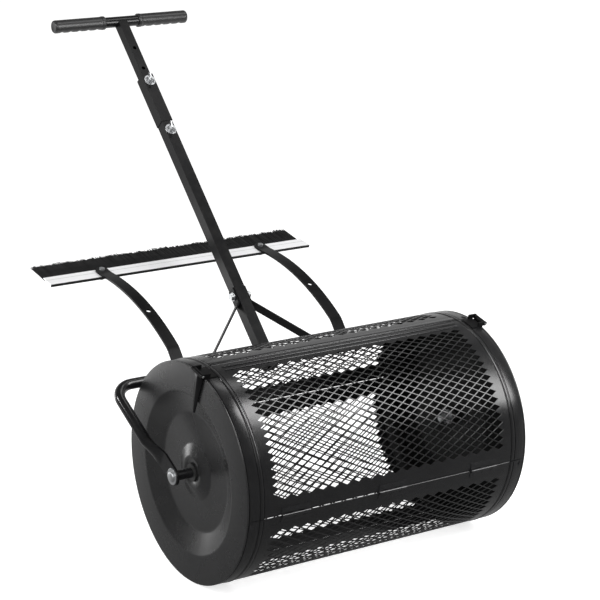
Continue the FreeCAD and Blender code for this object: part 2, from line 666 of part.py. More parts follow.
def make_frame_tube():
    """One bent tube: two arms with flattened, pierced ears on the axle, and the cross tube."""
    body = new_body("frame_tube")
    taper_end = "ear_length + ear_taper"
    path = new_sketch(body, "XY_Plane")
    reach, radius = val("cross_reach"), val("corner_radius")
    x, y0 = val("arm_x"), val(taper_end)
    kink = radius * (1 - math.sqrt(0.5))
    runs = [Part.LineSegment(Vector(-x, y0, 0), Vector(-x, reach - radius, 0)),
            Part.Arc(Vector(-x, reach - radius, 0), Vector(-x + kink, reach - kink, 0),
                     Vector(-x + radius, reach, 0)),
            Part.LineSegment(Vector(-x + radius, reach, 0), Vector(x - radius, reach, 0)),
            Part.Arc(Vector(x - radius, reach, 0), Vector(x - kink, reach - kink, 0),
                     Vector(x, reach - radius, 0)),
            Part.LineSegment(Vector(x, reach - radius, 0), Vector(x, y0, 0))]
    for run in runs:
        path.addGeometry(run, False)
    ring = new_sketch(body, "XZ_Plane", f"-({taper_end})")
    circle(ring, "-arm_x", "0", "frame_tube_radius")
    circle(ring, "-arm_x", "0", "frame_tube_radius - frame_tube_wall")
    pipe = body.newObject("PartDesign::AdditivePipe", "pipe")
    pipe.Profile = ring
    pipe.Spine = (path, [f"Edge{k + 1}" for k in range(len(runs))])
    for side in SIDES.values():
        ear_x = f"{side} * (ear_inner + ear_wall / 2)"
        wide = new_sketch(body, "XZ_Plane", f"-({taper_end})")
        circle(wide, f"{side} * arm_x", "0", "frame_tube_radius")
        flat = new_sketch(body, "XZ_Plane", "-ear_length")
        outline(flat, [(f"{ear_x} - ear_wall / 2", "-ear_width / 2"),
                       (f"{ear_x} + ear_wall / 2", "-ear_width / 2"),
                       (f"{ear_x} + ear_wall / 2", "ear_width / 2"),
                       (f"{ear_x} - ear_wall / 2", "ear_width / 2")])
        loft = body.newObject("PartDesign::AdditiveLoft", "taper")
        loft.Profile = wide
        loft.Sections = [flat]
        ear = new_sketch(body, "YZ_Plane", f"{ear_x} - ear_wall / 2")
        outline(ear, [("ear_length", "ear_width / 2"),
                      ("0", "ear_width / 2", "ear_width / 2", 1),
                      ("-ear_width / 2", "0", "ear_width / 2", 1),
                      ("0", "-ear_width / 2"), ("ear_length", "-ear_width / 2")])
        circle(ear, "0", "0", "pin_radius + fit_gap")
        pad(body, ear, "ear_wall")
    on_arm(body)
    radius = val("bolt_radius + fit_gap")
    depth = val("frame_tube_radius") + OVERRUN
    holes = [along(Vector(0, 0, 1), Vector(x, 0, -depth), radius, 2 * depth) for x in cross_bolt_places()]
    holes.append(along(Vector(0, 1, 0), Vector(0, -depth, 0), radius, 2 * depth))
    for hole in holes:
        hole.Placement = mast_placement().multiply(hole.Placement)
    return node("frame_tube", cut(body, holes, "frame_tube"))


# ---------------------------------------------------------------- mast and handle

def square_tube(label, side, wall, start, length):
    """A square tube along the mast."""
    body = new_body(label)
    sketch = new_sketch(body, "XY_Plane", start)
    square(sketch, side, "mast_offset")
    square(sketch, f"({side} - 2 * ({wall}))", "mast_offset")
    pad(body, sketch, length)
    return on_mast(body)


def in_mast_frame(shapes):
    for shape in shapes:
        shape.Placement = mast_placement().multiply(shape.Placement)
    return shapes


def front_hole(station, radius):
    """A hole through the mast's front wall, which faces the drum and the sky."""
    return along(Vector(0, -1, 0), Vector(0, val("mast_offset"), station), radius, val("mast_side"))


def make_mast():
    """The fixed mast, notched over the cross tube, and the sleeve round its upper end."""
    hole = val("bolt_radius + fit_gap")
    wing_hole = val("wing_shank_radius + fit_gap")
    across = val("mast_side")
    tube = square_tube("mast_lower", "mast_side", "mast_wall", "-mast_tail", "mast_tail + mast_length")
    notch = along(Vector(1, 0, 0), Vector(-across, 0, 0), val("frame_tube_radius + fit_gap"), 2 * across)
    holes = [notch, along(Vector(0, 1, 0), Vector(0, 0, 0), hole, 2 * across),
             along(Vector(1, 0, 0), Vector(-across, val("mast_offset"), val("brace_bolt_station")), hole,
                   2 * across),
             front_hole(val("wing_screw_high"), wing_hole), front_hole(val("wing_screw_low"), wing_hole)]
    node("mast_lower", cut(tube, in_mast_frame(holes), "mast_lower"))
    sleeve = square_tube("mast_sleeve", "sleeve_side", "sleeve_wall", "sleeve_start", "sleeve_length")
    holes = in_mast_frame([front_hole(val("wing_screw_high"), wing_hole)])
    node("mast_sleeve", cut(sleeve, holes, "mast_sleeve"))


def make_handle():
    """The sliding upper mast with its row of holes, the T bar and the grips."""
    tube = square_tube("mast_upper", "slider_side", "mast_wall", "slider_start",
                       "bar_station - slider_start")
    holes = [front_hole(val("hole_first") - k * val("hole_pitch"), val("hole_radius"))
             for k in range(int(val("hole_count")))]
    bar_centre = Vector(-val("bar_length") / 2, val("mast_offset"), val("bar_station"))
    holes.append(along(Vector(1, 0, 0), bar_centre, val("bar_radius"), val("bar_length")))
    node("mast_upper", cut(tube, in_mast_frame(holes), "mast_upper"))

    bar = new_body("t_bar")
    rings = new_sketch(bar, "YZ_Plane")
    circle(rings, "mast_offset", "bar_station", "bar_radius")
    circle(rings, "mast_offset", "bar_station", "bar_radius - bar_wall")
    pad(bar, rings, "bar_length", both_sides=True)
    node("t_bar", on_mast(bar))

    for name, side in SIDES.items():
        grip = new_body(f"grip_{name}")
        outer = new_sketch(grip, "YZ_Plane", f"{side} * (bar_length / 2 + grip_wall)")
        circle(outer, "mast_offset", "bar_station", "bar_radius + grip_wall")
        pad(grip, outer, "grip_length", reverse=side > 0)
        on_mast(grip)
        sleeve_bore = along(Vector(side, 0, 0), Vector(0, val("mast_offset"), val("bar_station")),
                            val("bar_radius"), val("bar_length") / 2)
        tools = [sleeve_bore]
        first = val("bar_length / 2 + grip_wall - grip_length / 2") \
            - (val("groove_count") - 1) / 2 * val("groove_pitch")
        drop = val("bar_radius + grip_wall + groove_radius - groove_depth")
        across = val("bar_radius + grip_wall") * 2
        turn = Rotation(Vector(1, 0, 0), 90 - val("mast_angle"))
        down, fore = turn.multVec(Vector(0, 0, -1)), turn.multVec(Vector(0, 1, 0))
        for k in range(int(val("groove_count"))):
            centre = Vector(side * (first + k * val("groove_pitch")), val("mast_offset"),
                            val("bar_station")) + down * drop - fore * across / 2
            tools.append(along(fore, centre, val("groove_radius"), across))
        node(f"grip_{name}", cut(grip, in_mast_frame(tools), f"grip_{name}"))


def make_wing_screws():
    """Two wing screws in the mast's front wall, backed off so that the handle can slide."""
    screws, washers = [], []
    tip = val("mast_offset - slider_side / 2 - door_clearance")
    for station, seat in ((val("wing_screw_high"), val("mast_offset - sleeve_side / 2")),
                          (val("wing_screw_low"), val("mast_offset - mast_side / 2"))):
        way = Vector(0, -1, 0)
        wall = val("wing_washer_wall")
        washer = along(way, Vector(0, seat, station), val("wing_washer_radius"), wall)
        washers.append(washer.cut(along(way, Vector(0, seat, station),
                                        val("wing_shank_radius + fit_gap"), wall)))
        shank = along(way, Vector(0, tip, station), val("wing_shank_radius"), tip - seat + wall)
        hub = along(way, Vector(0, seat - wall, station), val("wing_hub_radius"), val("wing_hub_height"))
        lift, span = val("wing_rise"), val("wing_span")
        root = val("wing_root")
        base = seat - wall - root
        half = val("wing_wall") / 2
        wings = []
        for side in (-1, 1):
            corners = [Vector(-half, base, station)]
            corners += [Vector(-half, base - lift * up, station + side * span * out)
                        for up, out in WING_OUTLINE]
            corners += [Vector(-half, base - val("wing_hub_height") + root, station)]
            wings.append(Part.Face(Part.makePolygon(corners + corners[:1])).extrude(Vector(2 * half, 0, 0)))
        screws.append(shank.fuse([hub] + wings).removeSplitter())
    node("wing_screws", group(in_mast_frame(screws)))
    node("wing_washers", group(in_mast_frame(washers)))


def make_braces():
    """Two bent flat braces between the mast's sides and the cross tube."""
    wall, width = val("brace_wall"), val("brace_width")
    middle = val("mast_offset")
    for name, side in SIDES.items():
        steps = [("run", val("brace_flat")), ("bend", val("brace_bend_radius"), val("brace_angle")),
                 ("run", brace_slant()), ("bend", val("brace_bend_radius"), 90 - val("brace_angle")),
                 ("run", val("brace_tab"))]
        strip, _, _ = bent_strip((val("mast_side / 2 + brace_wall / 2"), val("brace_top")), -90, steps,
                                 wall, width)
        turned = Placement(Vector(0, middle, 0), Rotation(Vector(0, 0, 1), -90))
        strip.Placement = turned
        end = val("mast_side / 2 + brace_wall / 2") + brace_reach()
        tab = val("brace_tab")
        foot = Part.makeBox(tab, middle + width, wall,
                            Vector(end - tab, -width / 2, val("frame_tube_radius")))
        brace = strip.fuse(foot)
        hole = val("bolt_radius + fit_gap")
        foot_hole = along(Vector(0, 0, 1), Vector(cross_bolt_places()[1], 0, 0), hole,
                          val("frame_tube_radius") + wall + OVERRUN)
        top_hole = along(Vector(1, 0, 0), Vector(0, middle, val("brace_bolt_station")), hole,
                         val("mast_side / 2") + wall + OVERRUN)
        brace = brace.cut([foot_hole, top_hole]).removeSplitter()
        if side < 0:
            brace = brace.mirror(Vector(), Vector(1, 0, 0))
        node(f"brace_{name}", feature_of(in_mast_frame([brace])[0]))


def bolt(direction, seat, grip, nut=True):
    """A hexagon bolt whose head stands on the seat and whose shank runs back through the grip. Returns
    the bolt with its washer, and the nut with its washer, or None."""
    wall, radius, height = val("bolt_washer_wall"), val("bolt_radius"), val("bolt_head_height")
    head = hexagon(direction, seat + direction * wall, val("bolt_head_flat"), height)
    back = grip + (wall + height + val("bolt_overhang") if nut else 0)
    shank = along(direction, seat - direction * back, radius, back + wall)
    washer = along(direction, seat, val("bolt_washer_radius"), wall)
    head_end = shank.fuse([head, washer]).removeSplitter()
    if not nut:
        return head_end, None
    rear = seat - direction * grip
    lock = hexagon(-direction, rear - direction * wall, val("bolt_head_flat"), height)
    rear_washer = along(-direction, rear, val("bolt_washer_radius"), wall)
    thread = along(-direction, rear, radius, wall + height + OVERRUN)
    nut_end = lock.fuse(rear_washer).cut(thread).removeSplitter()
    return head_end, nut_end


def make_frame_bolts():
    """Bolts through the braces, the mast's foot and the cross tube."""
    side = val("mast_side / 2 + brace_wall")
    centre = Vector(-side, val("mast_offset"), val("brace_bolt_station"))
    head, nut = bolt(Vector(-1, 0, 0), centre, 2 * side)
    node("brace_bolt", feature_of(in_mast_frame([head])[0]))
    node("brace_nut", feature_of(in_mast_frame([nut])[0]))
    heads, nuts = [], []
    deep = val("frame_tube_radius")
    for x in cross_bolt_places():
        head, nut = bolt(Vector(0, 0, 1), Vector(x, 0, deep + val("brace_wall")),
                         2 * deep + val("brace_wall"))
        heads.append(head)
        nuts.append(nut)
    rear = val("mast_offset + mast_side / 2")
    head, nut = bolt(Vector(0, 1, 0), Vector(0, rear, 0), rear + deep)
    heads.append(head)
    nuts.append(nut)
    node("cross_tube_bolts", group(in_mast_frame(heads)))
    node("cross_tube_nuts", group(in_mast_frame(nuts)))


# ---------------------------------------------------------------- brush

def make_brush():
    """Two curved arms clamped round the cross tube, and the channel with its bristles."""
    slope = math.radians(val("arm_foot_slope"))
    along_arm = Vector(0, math.cos(slope), math.sin(slope))
    away = Vector(0, math.sin(slope), -math.cos(slope))
    cross = Vector(0, val("cross_y"), val("cross_z"))
    wall, width = val("brush_arm_wall"), val("brush_arm_width")
    start = cross + away * val("arm_standoff") - along_arm * val("arm_tail")
    steps = [("run", val("arm_foot_length")),
             ("bend", val("arm_bend_radius"), val("arm_low_slope - arm_foot_slope")),
             ("bend", val("arm_radius"), val("spare_hole_slope - arm_low_slope")),
             ("bend", val("arm_radius"), val("arm_high_slope - spare_hole_slope")),
             ("bend", val("arm_tip_radius"), val("brush_tilt - arm_high_slope"))]
    _, spare, spare_heading = bent_strip((start.y, start.z), val("arm_foot_slope"), steps[:3], wall, width)
    _, seat, tilt = bent_strip((start.y, start.z), val("arm_foot_slope"), steps, wall, width)
    strip, tip, _ = bent_strip((start.y, start.z), val("arm_foot_slope"),
                               steps + [("run", val("arm_tip_length") - width / 2)], wall, width)
    ahead = Vector(0, math.cos(math.radians(tilt)), math.sin(math.radians(tilt)))
    up = Vector(0, -ahead.z, ahead.y)
    rounded = along(up, tip - up * wall / 2, width / 2, wall)
    spare_up = Vector(0, -math.sin(math.radians(spare_heading)), math.cos(math.radians(spare_heading)))
    spare_hole = along(spare_up, spare - spare_up * wall, val("spare_hole_radius"), 2 * wall)
    bolt_hole = along(up, tip - up * wall, val("brush_bolt_radius + fit_gap"), 2 * wall)
    screw_base = cross + along_arm * val("clamp_screw_shift")
    foot_hole = along(away, screw_base + away * (val("arm_standoff") - wall),
                      val("bolt_radius + fit_gap"), 2 * wall)
    arm = strip.fuse(rounded).cut([spare_hole, bolt_hole, foot_hole]).removeSplitter()

    tube = val("frame_tube_radius")
    outer = tube + val("clamp_wall")
    lug_end = val("arm_standoff") - wall / 2
    ring = along(Vector(1, 0, 0), cross - Vector(width / 2, 0, 0), outer, width)
    half = val("clamp_lug_height") / 2
    lug = Part.makeBox(width, lug_end, 2 * half, Vector(-width / 2, 0, -half))
    lug.Placement = Placement(cross, Rotation(Vector(1, 0, 0), val("arm_foot_slope - 90")))
    bore = along(Vector(1, 0, 0), cross - Vector(width, 0, 0), tube + val("running_fit"), 2 * width)
    thread = along(away, screw_base + away * tube, val("bolt_radius + fit_gap"), lug_end)
    clamp = ring.fuse(lug).cut([bore, thread]).removeSplitter()
    screw, _ = bolt(away, screw_base + away * (val("arm_standoff") + wall / 2),
                    val("arm_standoff - frame_tube_radius - running_fit") + wall / 2, nut=False)

    screws, bolts, nuts = [], [], []
    channel_low = tip - up * (wall / 2 + val("channel_height"))
    depth_here = val("channel_front_wall") + (val("channel_height - channel_front_wall")
                                              * (val("arm_tip_length") - width / 2 + val("channel_front"))
                                              / val("channel_front + channel_back"))
    for name, side in SIDES.items():
        shift = Vector(side * val("brush_arm_x"), 0, 0)
        node(f"brush_arm_{name}", feature_of(arm.translated(shift)))
        node(f"arm_clamp_{name}", feature_of(clamp.translated(shift)))
        screws.append(screw.translated(shift))
        top = tip + up * wall / 2 + shift
        radius = val("brush_bolt_radius")
        head = along(up, top, val("brush_bolt_head_radius"), val("brush_bolt_head_height"))
        reach = wall + depth_here + val("brush_nut_height + bolt_overhang")
        bolts.append(head.fuse(along(up, top - up * reach, radius, reach)).removeSplitter())
        base = top - up * (wall + depth_here + val("brush_nut_seat"))
        nut = hexagon(-up, base, val("brush_nut_flat"), val("brush_nut_height"))
        thread = along(-up, base + up * OVERRUN, radius, val("brush_nut_height") + 2 * OVERRUN)
        nuts.append(nut.cut(thread))
    node("arm_clamp_screws", group(screws))
    node("brush_bolts", group(bolts))
    node("brush_nuts", group(nuts))

    seat_low = seat - up * wall / 2
    place = Placement(Vector(0, seat_low.y, seat_low.z), Rotation(Vector(1, 0, 0), val("brush_tilt")))
    front, back = "-channel_front", "channel_back"
    body = new_body("brush_channel")
    section = outline(new_sketch(body, "YZ_Plane", "channel_offset"), [
        (front, "0"), (front, "-channel_front_wall"), (back, "-channel_height"),
        (back, "channel_sheet - channel_height"),
        ("channel_back - channel_slot", "channel_sheet - channel_height"),
        ("channel_back - channel_slot", "-channel_sheet"), (back, "-channel_sheet"), (back, "0")])
    pad(body, section, "channel_length", both_sides=True)
    body.Placement = place
    holes = [along(up, channel_low - up * OVERRUN + Vector(side * val("brush_arm_x"), 0, 0),
                   val("brush_bolt_radius + fit_gap"), val("channel_height") + 2 * OVERRUN)
             for side in SIDES.values()]
    node("brush_channel", cut(body, holes, "brush_channel"))

    bristles = new_body("brush_bristles")
    block = outline(new_sketch(bristles, "YZ_Plane", "channel_offset"), [
        ("channel_back - channel_slot", "-channel_sheet"),
        ("channel_back - channel_slot", "channel_sheet - channel_height"),
        ("channel_back + bristle_length", "channel_sheet - channel_height"),
        ("channel_back + bristle_length", "-channel_sheet")])
    pad(bristles, block, "bristle_row_length", both_sides=True)
    bristles.Placement = place
    node("brush_bristles", bristles)


# ---------------------------------------------------------------- assembly

for panel_label, panel_number in PANELS.items():
    make_panel(panel_label, panel_number)
for side_name, side_sign in SIDES.items():
    make_end_cap(side_name, side_sign)
make_panel_screws()
make_hinges()
for side_name, side_sign in SIDES.items():
    make_latch(side_name, side_sign)
make_axle_groups({side_sign: make_axle(side_name, side_sign) for side_name, side_sign in SIDES.items()})
make_frame_tube()
make_mast()
make_handle()
make_wing_screws()
make_braces()
make_frame_bolts()
make_brush()
doc.recompute()

faults = [item.Label for item in doc.Objects if {"Invalid", "Error"} & set(item.State)]
faults += [item.Label for item in NODES if item.Shape.isNull() or not item.Shape.isValid()]
if faults:
    raise RuntimeError("these objects failed: " + ", ".join(faults))

os.makedirs("parts", exist_ok=True)
for item in NODES:
    item.Shape.exportStep(f"parts/{item.Label}.step")
print(len(NODES), "sub-parts written")
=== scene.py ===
# %% [markdown]
# # Dressing a mesh-drum lawn roller
# The imported model already has every part at its true size and place. This lesson gives those parts the look
# of the real machine: a cage of black expanded metal, pressed end discs, bent tube, a square mast and a
# brush. Everything is in metres, with +X along the axle, +Y to the rear and +Z up, so nothing has to be
# fitted. The frame is loaded first. The finished picture may not outgrow it.

# %% Load the frame
import json
import math
import random

import bmesh
import bpy
from mathutils import Matrix, Vector


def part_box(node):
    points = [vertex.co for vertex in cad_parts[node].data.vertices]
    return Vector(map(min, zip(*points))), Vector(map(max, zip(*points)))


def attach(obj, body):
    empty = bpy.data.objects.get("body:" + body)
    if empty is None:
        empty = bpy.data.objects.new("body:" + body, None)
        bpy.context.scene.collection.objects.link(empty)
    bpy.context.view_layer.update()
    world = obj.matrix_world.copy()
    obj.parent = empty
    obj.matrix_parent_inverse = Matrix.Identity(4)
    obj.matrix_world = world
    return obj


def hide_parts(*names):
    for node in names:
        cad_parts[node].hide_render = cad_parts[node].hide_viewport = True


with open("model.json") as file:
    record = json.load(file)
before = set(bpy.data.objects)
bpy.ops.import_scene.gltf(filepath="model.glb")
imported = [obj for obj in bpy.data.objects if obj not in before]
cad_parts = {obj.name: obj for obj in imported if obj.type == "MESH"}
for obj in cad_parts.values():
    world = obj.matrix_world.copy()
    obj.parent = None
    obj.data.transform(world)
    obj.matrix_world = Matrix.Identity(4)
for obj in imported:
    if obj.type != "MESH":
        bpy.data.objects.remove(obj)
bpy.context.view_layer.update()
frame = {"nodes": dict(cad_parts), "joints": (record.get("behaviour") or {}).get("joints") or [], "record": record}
SLOT_OF = {part["node"]: part["material_slot"] for part in frame["record"]["subparts"]}
BODY_OF = {}
for body, members in frame["record"]["behaviour"]["bodies"].items():
    BODY_OF.update(dict.fromkeys(members, body))
JOINT = {joint["name"]: joint for joint in frame["joints"]}

# %% [markdown]
# The drum's own measures come out of the frame, so that the new pieces sit on the old ones. The hinge of the
# door gives the angle of the first seam. Angles round the drum are 0 at the front and 90 at the top. The
# beads at the panels' ends stand out to the drum's full radius, so the sheet itself lies a little deeper.

# %% Measures of the drum
SIDES = {"left": -1, "right": 1}
AXLE = Vector(JOINT["drum_spin"]["pos_m"])
HALF_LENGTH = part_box("end_cap_right")[1][0]
DRUM_RADIUS = AXLE.z
BEAD_RISE = 0.0008
PANEL_RADIUS = DRUM_RADIUS - BEAD_RISE
PANEL_WALL = 0.0012
SEAM_GAP = 0.0015
HALF_ARC = (math.radians(90) - SEAM_GAP / DRUM_RADIUS) / 2 * PANEL_RADIUS
hinge_place = Vector(JOINT["door_hinge"]["pos_m"])
SEAM_ANGLE = math.degrees(math.atan2(hinge_place.z - AXLE.z, -hinge_place.y))
print("drum radius", DRUM_RADIUS, "seam at", round(SEAM_ANGLE, 2), "half a panel's arc", round(HALF_ARC, 4))

# %% [markdown]
# ## The camera
# The photograph was taken from the front left with a long lens, slightly above the handle's middle. The
# place and the lens were worked out from the two end discs, whose true size is known, so the drum falls on
# the same pixels. A camera looks along its own -Z, and to_track_quat turns that axis to the view.

# %% Camera
LENS_MM, SENSOR_MM = 125.1, 36
CAMERA_PLACE = (-2.0635, -3.0116, 1.4508)
CAMERA_VIEW = Vector((0.53458, 0.80474, -0.25810))

camera_data = bpy.data.cameras.new("photo_camera")
camera_data.sensor_fit = "HORIZONTAL"
camera_data.sensor_width = SENSOR_MM
camera_data.lens = LENS_MM
camera = bpy.data.objects.new("photo_camera", camera_data)
camera.location = CAMERA_PLACE
camera.rotation_euler = CAMERA_VIEW.to_track_quat("-Z", "Y").to_euler()
bpy.context.collection.objects.link(camera)
bpy.context.scene.camera = camera
bpy.context.scene.view_settings.view_transform = "Standard"
print("camera at", CAMERA_PLACE, "lens", LENS_MM)

# %% [markdown]
# ## Nodes in few words
# The world, the floor and every finish are trees of shader nodes. One helper makes a node in one statement:
# what it is, what it is set to and what feeds it. It adds the ShaderNode that all their type names begin
# with. A Mix node has sockets of the same name for numbers and for colours, and the colour ones are found by
# number.

# %% Helpers: feed and add a node
COLOR_A, COLOR_B, MIXED_COLOR = 6, 7, 2


def feed(tree, node, sources):
    """Link inputs of a node, by name or number, to outputs. A node stands for its first output."""
    for label, source in sources.items():
        output = source.outputs[0] if isinstance(source, bpy.types.Node) else source
        tree.links.new(output, node.inputs[label])


def add(tree, kind, values=None, sources=None, **settings):
    """One node: its settings, the values of its free inputs, and the outputs that feed the others."""
    node = tree.nodes.new("ShaderNode" + kind)
    for label, value in settings.items():
        setattr(node, label, value)
    for label, value in (values or {}).items():
        node.inputs[label].default_value = value
    feed(tree, node, sources or {})
    return node


print("colours enter a Mix node at", COLOR_A, "and", COLOR_B, "and leave it at", MIXED_COLOR)

# %% [markdown]
# ## The studio
# Black paint has almost no colour of its own. What shows its shape is what it mirrors, so the room matters
# more than the lamps. A product photographer stands the object before a bright backdrop and keeps the rest
# of the room dim. The world does the same. To the camera and through glass it is white all round. In mirror
# rays it is bright behind the object, up to some 40 degrees over the horizon, and dim elsewhere. As a source
# of light it is an even grey.

# %% World
BACKDROP = Vector((0.55, 0.83, 0)).normalized()
WORLD_LIGHT = 0.5
DIM_ROOM, BRIGHT_BACKDROP = 0.12, 0.7


def ray_kinds(tree):
    """The light path, and a node that is 1 for rays from the camera and rays through glass."""
    rays = add(tree, "LightPath")
    direct = add(tree, "Math", operation="MAXIMUM",
                 sources={0: rays.outputs["Is Camera Ray"], 1: rays.outputs["Is Transmission Ray"]})
    return rays, direct


world = bpy.data.worlds.new("white_studio")
bpy.context.scene.world = world
world.use_nodes = True
tree = world.node_tree
background = tree.nodes["Background"]
background.inputs["Color"].default_value = (1, 1, 1, 1)
direction = add(tree, "TexCoord")
towards = add(tree, "VectorMath", {1: BACKDROP}, {0: direction.outputs["Generated"]},
              operation="DOT_PRODUCT")
behind = add(tree, "MapRange", {"From Min": 0.1, "From Max": 0.75},
             {"Value": towards.outputs["Value"]}, interpolation_type="SMOOTHSTEP")
height = add(tree, "SeparateXYZ", sources={0: direction.outputs["Generated"]})
low_down = add(tree, "MapRange", {"From Min": 0.66, "From Max": 0.36},
               {"Value": height.outputs["Z"]}, interpolation_type="SMOOTHSTEP")
backdrop = add(tree, "Math", sources={0: behind, 1: low_down}, operation="MULTIPLY")
mirrored = add(tree, "MapRange", {"To Min": DIM_ROOM, "To Max": BRIGHT_BACKDROP}, {"Value": backdrop})
rays, direct = ray_kinds(tree)
in_mirrors = add(tree, "Mix", {"A": WORLD_LIGHT}, {"Factor": rays.outputs["Is Glossy Ray"], "B": mirrored})
strength = add(tree, "Mix", {"B": 1}, {"Factor": direct, "A": in_mirrors})
feed(tree, background, {"Strength": strength})
print("world light", WORLD_LIGHT, "seen as 1")

# %% [markdown]
# Five soft lamps draw the bright lines. A long one hangs slanted over the drum at the right front, where the
# rims mirror it towards the camera. A second does the same for the T bar. One stands low behind the left
# disc and grazes its dish, so that one side of the dish is lit and the other stays dark. A very large one at
# the front left is mirrored by every edge that faces it, such as the corner of the mast. One high at the
# left rear draws the line along the bent tube. None of them is seen by the camera itself.

# %% Lamps
MACHINE_MIDDLE = (0, 0.15, 0.3)


def soft_lamp(name, place, size, watts, aim=MACHINE_MIDDLE, long_side=None):
    """A rectangular lamp that faces its aim. long_side is the direction that its width follows."""
    data = bpy.data.lights.new(name, "AREA")
    data.shape = "RECTANGLE"
    data.size, data.size_y = size
    data.energy = watts
    lamp = bpy.data.objects.new(name, data)
    lamp.location = place
    back = Vector(place) - Vector(aim)
    lamp.rotation_euler = (-back).to_track_quat("-Z", "Y").to_euler()
    if long_side:
        across = Vector(long_side).normalized()
        back = (back - across * back.dot(across)).normalized()
        lamp.rotation_euler = Matrix((across, back.cross(across), back)).transposed().to_euler()
    lamp.visible_camera = False
    bpy.context.collection.objects.link(lamp)
    print(name, watts, "W")


soft_lamp("lamp_over_drum", place=(0.665, -0.71, 1.05), size=(1.3, 0.4), watts=16, aim=(0, -0.15, 0.33),
          long_side=(0.71, -0.615, -0.62))
soft_lamp("lamp_over_handle", place=(0.7, 0.35, 1.92), size=(1.1, 0.35), watts=3.5, aim=(0.7, 0.76, 0.9))
soft_lamp("lamp_behind_left", place=(-0.62, 1.15, 0.22), size=(0.34, 0.3), watts=1.1, aim=(-0.3, 0, 0.1))
soft_lamp("lamp_front_left", place=(-2.4, -2.0, 2.2), size=(2.2, 2.4), watts=70)
soft_lamp("lamp_high_left", place=(-1.9, 1.25, 1.4), size=(0.4, 0.4), watts=14, aim=(-0.35, 0.1, 0.3))

# %% [markdown]
# The floor is one large square at height 0.

# %% Floor
FLOOR_HALF = 9

bm = bmesh.new()
bmesh.ops.create_grid(bm, x_segments=1, y_segments=1, size=FLOOR_HALF)
floor_mesh = bpy.data.meshes.new("floor")
bm.to_mesh(floor_mesh)
bm.free()
floor = bpy.data.objects.new("floor", floor_mesh)
bpy.context.collection.objects.link(floor)
print("floor", tuple(floor.dimensions))

# %% [markdown]
# Its paint is pale and catches a soft shadow. In the photograph the ground is pure white, so for the camera
# the floor also glows a little, which lifts it to white and thins the shadow. In mirror rays the floor is
# white towards the backdrop and grey in the dim front of the room, so that the black parts that face the
# camera stay black.

# %% Floor paint
FLOOR_GLOW = 0.74

floor_material = bpy.data.materials.new("pale_floor")
floor_material.use_nodes = True
tree = floor_material.node_tree
tree.nodes.clear()
where = add(tree, "TexCoord")
grain = add(tree, "TexNoise", {"Scale": 6}, {"Vector": where.outputs["Object"]})
pale = add(tree, "MapRange", {"To Min": 0.68, "To Max": 0.72}, {"Value": grain})
diffuse = add(tree, "BsdfDiffuse", sources={"Color": pale})
rays, direct = ray_kinds(tree)
glow_level = add(tree, "Math", {1: FLOOR_GLOW}, {0: direct}, operation="MULTIPLY")
glow = add(tree, "Emission", sources={"Strength": glow_level})
lit = add(tree, "AddShader", sources={0: diffuse, 1: glow})
how_far = add(tree, "VectorMath", {1: BACKDROP}, {0: where.outputs["Object"]}, operation="DOT_PRODUCT")
mirror_level = add(tree, "MapRange",
                   {"From Min": -0.4, "From Max": 1.2, "To Min": 0.2, "To Max": 1},
                   {"Value": how_far.outputs["Value"]}, interpolation_type="SMOOTHSTEP")
in_mirror = add(tree, "Emission", sources={"Strength": mirror_level})
choice = add(tree, "MixShader", sources={"Fac": rays.outputs["Is Glossy Ray"], 1: lit, 2: in_mirror})
add(tree, "OutputMaterial", sources={"Surface": choice})
floor_mesh.materials.append(floor_material)
print("floor paint", floor_mesh.materials[0].name)

# %% [markdown]
# ## Finishes
# Several finishes share the same small effects, so each effect is a node group with named sockets. A group
# only puts out numbers and colours. The shader itself stays in the material, where an exporter can read it.

# %% Helper: an empty node group
VALUE, COLOR, VECTOR = "NodeSocketFloat", "NodeSocketColor", "NodeSocketVector"
BLACK = (0, 0, 0, 1)


def new_group(name, inputs, outputs):
    """A shader group with (name, type, default) inputs and (name, type) outputs, and its two end nodes."""
    group = bpy.data.node_groups.new(name, "ShaderNodeTree")
    for label, kind, value in inputs:
        socket = group.interface.new_socket(name=label, in_out="INPUT", socket_type=kind)
        if value is not None:
            socket.default_value = value
    for label, kind in outputs:
        group.interface.new_socket(name=label, in_out="OUTPUT", socket_type=kind)
    print("group", name, "gives", ", ".join(label for label, _ in outputs))
    return group, group.nodes.new("NodeGroupInput"), group.nodes.new("NodeGroupOutput")


# %% [markdown]
# Powder coat is sprayed as dry powder and baked. It never flows quite flat: a fine orange peel of about a
# millimetre stays in it, and the gloss drifts slowly over the part. Two noises do that, a fine one for the
# height and a broad one for colour and roughness.

# %% Group: powder coat
powder, start, end = new_group(
    "powder_coat",
    [("Place", VECTOR, None), ("Dark", COLOR, BLACK), ("Light", COLOR, BLACK), ("Rough", VALUE, 0.4),
     ("Drift", VALUE, 0.08), ("Grain", VALUE, 900)],
    [("Color", COLOR), ("Roughness", VALUE), ("Height", VALUE)])
peel = add(powder, "TexNoise", {"Detail": 2},
           {"Vector": start.outputs["Place"], "Scale": start.outputs["Grain"]})
cloud = add(powder, "TexNoise", {"Scale": 14, "Detail": 4}, {"Vector": start.outputs["Place"]})
tone = add(powder, "Mix",
           sources={"Factor": cloud, COLOR_A: start.outputs["Dark"],
                    COLOR_B: start.outputs["Light"]}, data_type="RGBA")
centred = add(powder, "Math", {1: 0.5}, {0: cloud}, operation="SUBTRACT")
spread = add(powder, "Math",
             sources={0: centred, 1: start.outputs["Drift"], 2: start.outputs["Rough"]},
             operation="MULTIPLY_ADD")
feed(powder, end, {"Color": tone.outputs[MIXED_COLOR], "Roughness": spread, "Height": peel})
print(len(powder.nodes), "nodes in", powder.name)

# %% [markdown]
# Dust settles in patches on what faces up. The mask is the upward part of the surface's own normal times a
# broken noise. It is used very thinly, because the machine in the photograph is new.

